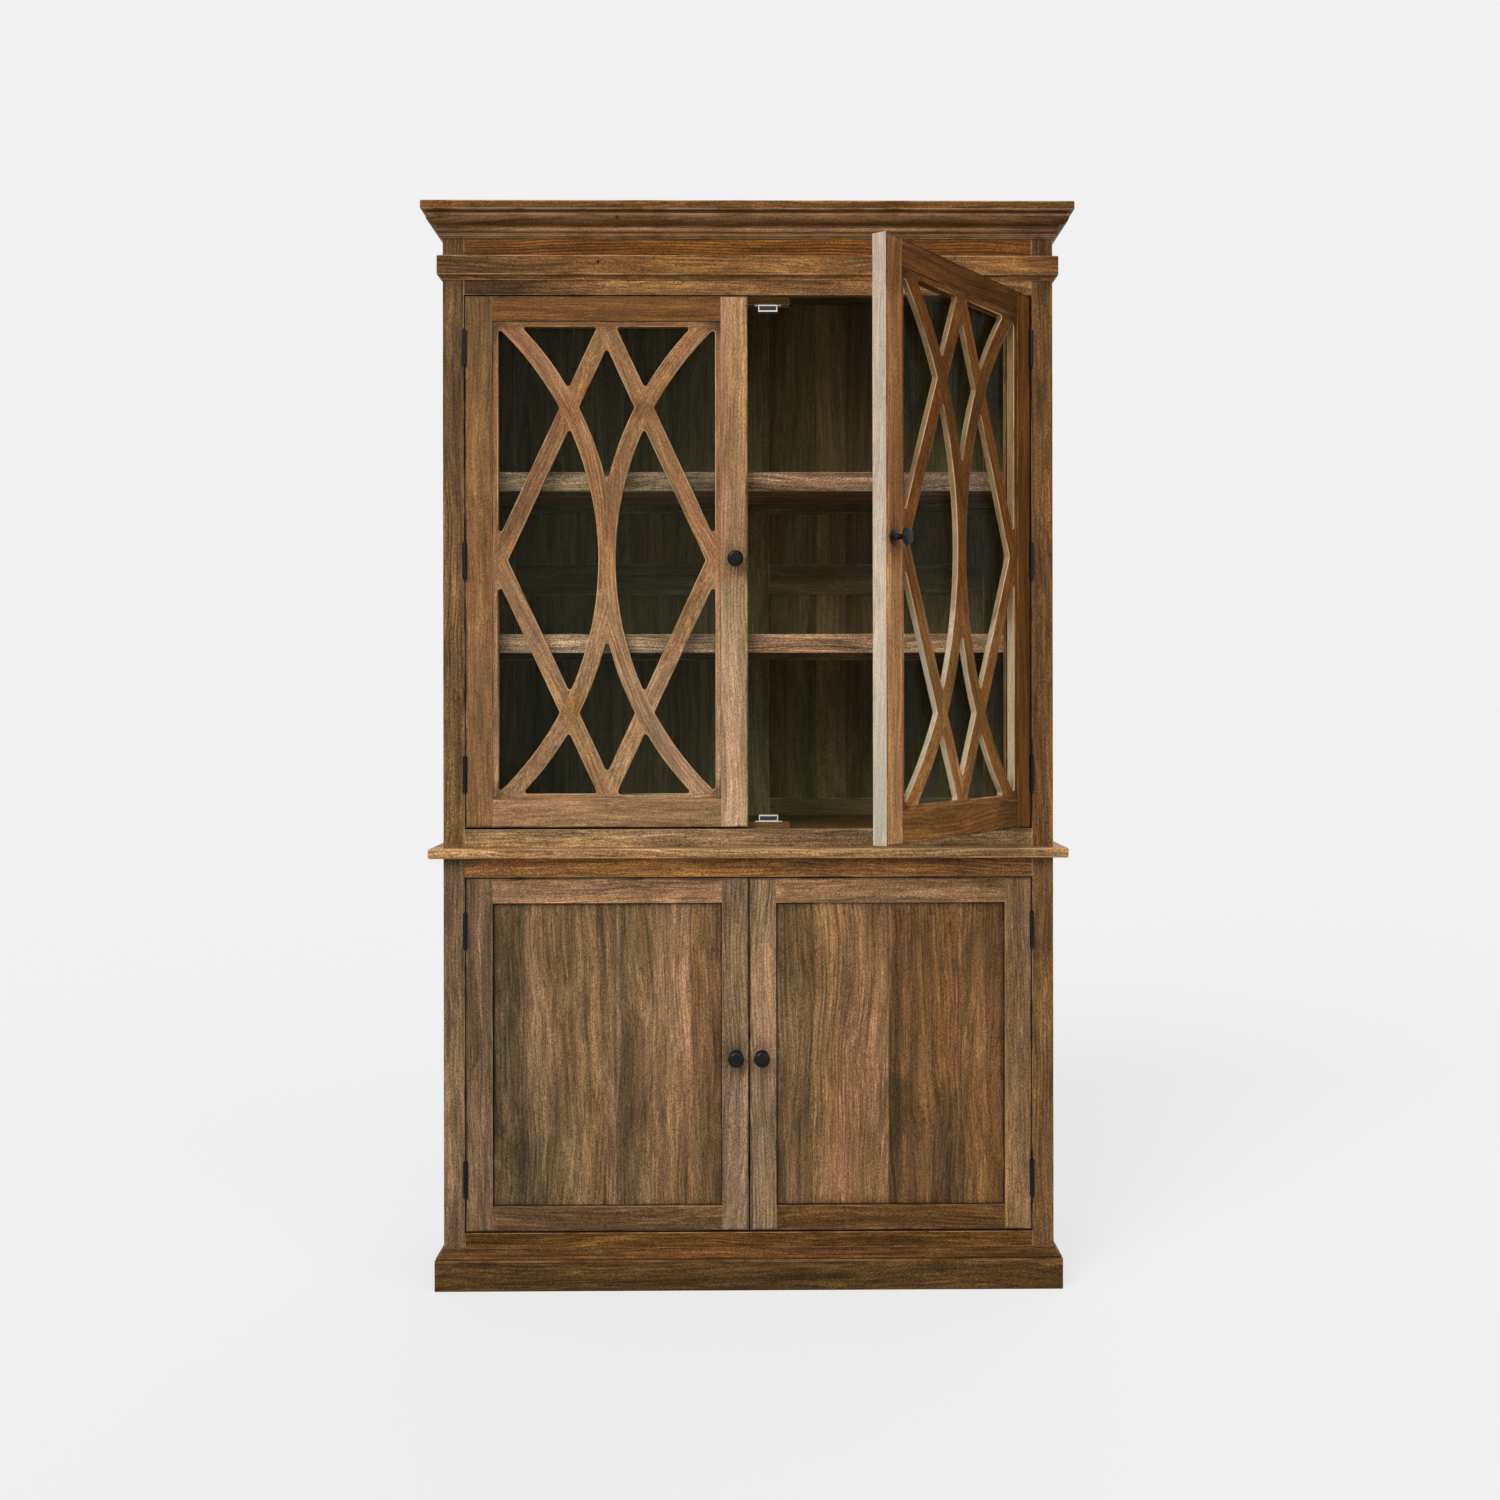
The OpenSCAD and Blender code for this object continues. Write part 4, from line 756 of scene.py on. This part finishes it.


# The stains of each door and its lattice, how much its glass mirrors and its finish shines, and its washes
# and fronts: patches with their extent in x and z, their softness and a tint. Some are changes in the stain.
# The bluish paler ones low on both doors are a painted sheen of the sky. The darker ones towards
# the open door's hinge are painted shade, and so is part of the dark stain of its hinge stile.
glazed_looks = {
    "left": {
        "stiles": ((121, 90, 55), (155, 119, 84)), "rails": ((152, 118, 82), (103, 71, 31)),
        "lattice": (138, 101, 66), "mirroring": 1.12, "gloss": 0.1,
        # The bluish paler patches low on this door are a painted sheen of the sky.
        "stile_washes": (((-0.2, 0.0), (0.9, 1.5), 0.04, (1.1, 1.32, 1.42)),), "stile_fronts": (),
        "rail_washes": (),
        "lattice_washes": (((-0.28, 0.1), (0.9, 1.32), 0.05, (1.25, 1.32, 1.42)),
                           ((-0.9, 0.1), (0.9, 1.5), 0.1, (1.15, 1.27, 1.45)),
                           ((-0.3, 0.1), (1.3, 2.03), 0.08, (1.14, 1.13, 1.12)),
                           ((-0.42, -0.19), (1.845, 1.895), 0.03, (0.84, 0.76, 0.68)),
                           ((-0.42, -0.34), (1.21, 1.255), 0.03, (0.84, 0.78, 0.7)),
                           ((-0.9, 0.1), (2.038, 2.5), 0.01, (0.75, 0.74, 0.68))),
    },
    "right": {
        "stiles": ((154, 106, 64), (91, 59, 26)), "rails": ((110, 76, 38), (90, 57, 24)),
        "lattice": (110, 72, 34), "mirroring": 1.05, "gloss": 0.02,
        # Bluish paler patches low on this door are a painted sheen; darker ones towards the hinge, painted
        # shade.
        "stile_washes": (((-0.3, 0.3), (0.5, 1.6), 0.08, (1.14, 1.14, 1.13)),),
        "stile_fronts": (((-0.3, 0.3), (2.0, 2.5), 0.05, (0.62, 0.63, 0.56)),
                         ((-0.3, 0.3), (0.5, 1.52), 0.08, (1.4, 1.62, 1.9)),
                         ((0.5, 0.9), (0.5, 1.2), 0.06, (1.35, 1.35, 1.35))),
        "rail_washes": (((0.36, 0.9), (1.9, 2.5), 0.09, (0.7, 0.72, 0.72)),
                        ((-0.1, 0.2), (0.5, 1.3), 0.05, (1.2, 1.22, 1.2)),
                        ((0.32, 0.9), (0.5, 1.3), 0.06, (0.74, 0.77, 0.77)),
                        ((0.46, 0.9), (0.5, 1.3), 0.06, (0.66, 0.7, 0.7))),
        "lattice_washes": (((-0.1, 0.9), (1.62, 2.5), 0.06, (0.76, 0.7, 0.56)),
                           ((-0.1, 0.9), (0.5, 1.42), 0.06, (1.5, 1.75, 2.0)),
                           ((0.33, 0.9), (0.5, 1.62), 0.06, (0.8, 0.76, 0.7))),
    },
}
hinge_place = next(joint for joint in frame["joints"] if joint["name"] == "upper_right_hinge")
hinge_side = Vector((*hinge_place["pos_m"][:2], 0.0))
open_angle = math.radians(-hinge_place["range_deg"][0])
knob_x = 0.0275
glazed_knob_z = 1.54825
knob_marks = (0.035, 0.3)
corner_marks = (0.045, 0.55)
for side_name, side, door in (("left", -1, None), ("right", 1, (hinge_side, open_angle))):
    first_board = 80.0 + 20 * side
    prefix = f"upper_{side_name}_"
    look = glazed_looks[side_name]
    middle = side * door_centre_x
    knob = (side * knob_x, 0.0, glazed_knob_z)
    towards_free_edge = turned_back((-side, 0, 0), (Vector(), open_angle) if door else None)
    shade = gap_shade(*closed_box(side))
    dress_wood(prefix + "stiles", "door_wood", stains=look["stiles"], seams=(middle,), board=first_board,
               door=door, washes=look["stile_washes"], reveals=look["stile_fronts"], rims=shade,
               halos=((knob, *knob_marks),), bare_side=towards_free_edge, bare_within=abs(middle),
               streaks=0.3, worn=0.3, contrast=0.9, gloss=look["gloss"])
    dress_wood(prefix + "rails", "door_wood", stains=look["rails"], grain="x", seams=(pane_centre_z,),
               across=2, board=first_board + 3, door=door, washes=look["rail_washes"], rims=shade,
               streaks=0.3, worn=0.3, gloss=look["gloss"])
    # The rim round the lattice's hole is painted shade along the edge of the glass.
    hole_low, hole_high = [(middle + end * hole_half[0], 0.0, pane_centre_z + end * hole_half[1])
                           for end in (-1, 1)]
    corners = [(x, 0.0, z) for x in (hole_low[0], hole_high[0]) for z in (hole_low[2], hole_high[2])]
    # The open door's lattice sides that face the lamp are paler: partly bare wood, partly painted light.
    dress_wood(prefix + "lattice", "lattice_wood", stains=(look["lattice"],), board=first_board + 6,
               door=door, lay=lattice_lay(side), bare_side=towards_free_edge if door else None, bare=0.6,
               bare_tone=(226, 202, 168), washes=look["lattice_washes"],
               rims=((hole_low, hole_high, 0.002, 0.7),), edge=0.0016,
               halos=[(corner, *corner_marks) for corner in corners],
               streaks=0.15, worn=0.9, pores=0.4, warmth=0.8, gloss=look["gloss"])
    dress_wood(prefix + "beads", "door_wood", stains=(look["lattice"],), board=first_board + 14, door=door)
    dress(prefix + "glass", clear_glass(prefix + "window_glass", look["mirroring"]))
    dress(prefix + "knob", black_iron)
    dress(prefix + "strikes", bright_steel)
    dress(prefix + "hinge_leaves", black_iron)
    leaf_screws(prefix + "leaf_screws", side * door_leaf_x, (side, 0, 0), upper_hinges, prefix + "door", door)
    strike_screws(prefix, side, upper_strike_y, upper_catch_levels, door)

# Cupboard doors
# Two stiles and two rails, tenoned together, round a flat panel that lies in their grooves.
# The panel is glued up from three planks, each with its own stain.
cupboard_looks = {
    "left": {
        "stiles": ((112, 90, 64), (122, 101, 76)), "rails": ((93, 71, 43), (138, 107, 77)),
        "planks": ((120, 94, 65), (123, 96, 65), (113, 85, 55)), "seams": (-0.282, -0.125),
        "washes": (((-0.9, -0.47), (-0.2, 1.2), 0.018, (0.66, 0.72, 0.72)),
                   ((-0.282, -0.235), (-0.2, 1.2), 0.02, (0.64, 0.7, 0.7)),
                   ((-0.52, -0.42), (-0.2, 0.32), 0.03, (0.7, 0.76, 0.76)),
                   ((-0.2, -0.125), (0.5, 1.2), 0.02, (1.02, 1.04, 1.08))),
        "stile_washes": (((-0.1, 0.1), (0.55, 1.2), 0.05, (0.86, 0.87, 0.85)),),
    },
    "right": {
        "stiles": ((128, 103, 75), (114, 89, 59)), "rails": ((86, 60, 30), (127, 98, 67)),
        "planks": ((124, 94, 62), (118, 85, 51), (112, 82, 48)), "seams": (0.297, 0.4535),
        "washes": (((-0.2, 0.137), (-0.2, 1.2), 0.009, (0.6, 0.66, 0.66)),
                   ((0.13, 0.21), (-0.2, 1.2), 0.025, (1.15, 1.12, 1.16)),
                   ((0.285, 0.335), (-0.2, 0.44), 0.03, (0.55, 0.63, 0.66)),
                   ((0.39, 0.46), (-0.2, 0.42), 0.04, (0.55, 0.63, 0.66)),
                   ((0.389, 0.391), (0.42, 0.61), 0.0012, (0.4, 0.38, 0.36)),
                   ((0.5, 0.8), (-0.2, 1.2), 0.02, (0.68, 0.68, 0.64))),
        "stile_washes": (((-0.1, 0.1), (0.55, 1.2), 0.05, (1.07, 1.08, 1.02)),
                         ((-0.1, 0.1), (-0.2, 0.46), 0.05, (0.83, 0.9, 0.89))),
    },
}
cupboard_knob_z = 0.49125
groove_depth = 0.0065
in_groove = Vector((groove_depth, 0.0, groove_depth))
for side_name, side in (("left", -1), ("right", 1)):
    first_board = 120.0 + 20 * side
    prefix = f"lower_{side_name}_"
    look = cupboard_looks[side_name]
    knob = (side * knob_x, 0.0, cupboard_knob_z)
    shade = gap_shade(*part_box(prefix + "stiles"))
    low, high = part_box(prefix + "panel")
    # Painted shade in the groove round the panel, and a wider, fainter band of it on the panel's face.
    panel_shade = ((low + in_groove, high - in_groove, 0.004, 0.85), (low, high, 0.03, 0.4))
    dress_wood(prefix + "stiles", "door_wood", stains=look["stiles"], seams=(side * door_centre_x,),
               board=first_board, washes=look["stile_washes"], rims=shade, halos=((knob, *knob_marks),),
               streaks=0.4, contrast=1.15, worn=0.35)
    dress_wood(prefix + "rails", "door_wood", stains=look["rails"], grain="x", seams=(0.5,), across=2,
               board=first_board + 3, rims=shade, streaks=0.4, contrast=1.3, worn=0.35)
    dress_wood(prefix + "panel", "panel_wood", stains=look["planks"], seams=look["seams"],
               washes=look["washes"], board=first_board + 6, rims=panel_shade, streaks=0.8, pores=0.9,
               contrast=1.2)
    dress(prefix + "knob", black_iron)
    dress(prefix + "strike", bright_steel)
    dress(prefix + "hinge_leaves", black_iron)
    leaf_screws(prefix + "leaf_screws", side * door_leaf_x, (side, 0, 0), lower_hinges, prefix + "door")
    strike_screws(prefix, side, lower_strike_y, lower_catch_levels)

# Floor, backdrop and light
# A plain pale floor that runs to the horizon, and a background of the same white. One soft lamp stands high
# on the left in front, a weaker one on the right, and a third behind lights the back.
background = linear((241, 241, 241))
floor_half = 400.0
floor_mesh = bpy.data.meshes.new("studio_floor")
floor_mesh.from_pydata([(-floor_half, -floor_half, 0.0), (floor_half, -floor_half, 0.0),
                        (floor_half, floor_half, 0.0), (-floor_half, floor_half, 0.0)], [], [(0, 1, 2, 3)])
floor = bpy.data.objects.new("studio_floor", floor_mesh)
scene.collection.objects.link(floor)


def seen_directly(t):
    """1 for a ray from the camera, off gloss or through glass, and 0 for one that only brings light."""
    camera_ray = t.put("LightPath", {}, out="Is Camera Ray")
    paths = camera_ray.node.outputs
    either = t.maths("MAXIMUM", camera_ray, paths["Is Glossy Ray"])
    return t.maths("MAXIMUM", either, paths["Is Transmission Ray"])


def grey(level):
    """A plain linear grey."""
    return (level, level, level, 1.0)


def pale_floor():
    """A matt floor. Seen directly, it gives part of the background's white by itself, so the shadow on it is
    soft."""
    material, t = new_material("pale_floor")
    matt = t.put("BsdfDiffuse", {"Color": grey(0.5)})
    thin = t.put("BsdfDiffuse", {"Color": grey(0.2)})
    glow = t.put("Emission", {"Color": grey(0.675)})
    shown = t.put("AddShader", {0: thin, 1: glow})
    return finish(material, t.put("MixShader", {0: seen_directly(t), 1: matt, 2: shown}))


floor_mesh.materials.append(pale_floor())
soft_sky = 0.42
world = bpy.data.worlds.new("studio")
world.use_nodes = True
world.node_tree.nodes.clear()
t = Tree(world.node_tree)
soft = t.put("Background", {"Color": grey(1.0), "Strength": soft_sky})
white = t.put("Background", {"Color": background, "Strength": 1.0})
sky = t.put("MixShader", {0: seen_directly(t), 1: soft, 2: white})
world_end = world.node_tree.nodes.new("ShaderNodeOutputWorld")
world.node_tree.links.new(sky, world_end.inputs["Surface"])
scene.world = world


def sun(name, towards, strength, softness):
    """A sun lamp that shines from the direction towards, softened by an angle in degrees. Glass doesn't show
    the lamp itself."""
    lamp = bpy.data.lights.new(name, "SUN")
    lamp.energy = strength
    lamp.angle = math.radians(softness)
    holder = bpy.data.objects.new(name, lamp)
    holder.rotation_euler = Vector(towards).to_track_quat("Z", "Y").to_euler()
    holder.visible_transmission = False
    scene.collection.objects.link(holder)


sun("key_lamp", towards=(-0.42, -0.72, 0.55), strength=2.1, softness=35)
sun("fill_lamp", towards=(0.6, -0.7, 0.35), strength=1.0, softness=60)
sun("back_lamp", towards=(0.25, 0.85, 0.5), strength=0.75, softness=60)
scene.view_settings.view_transform = "Standard"
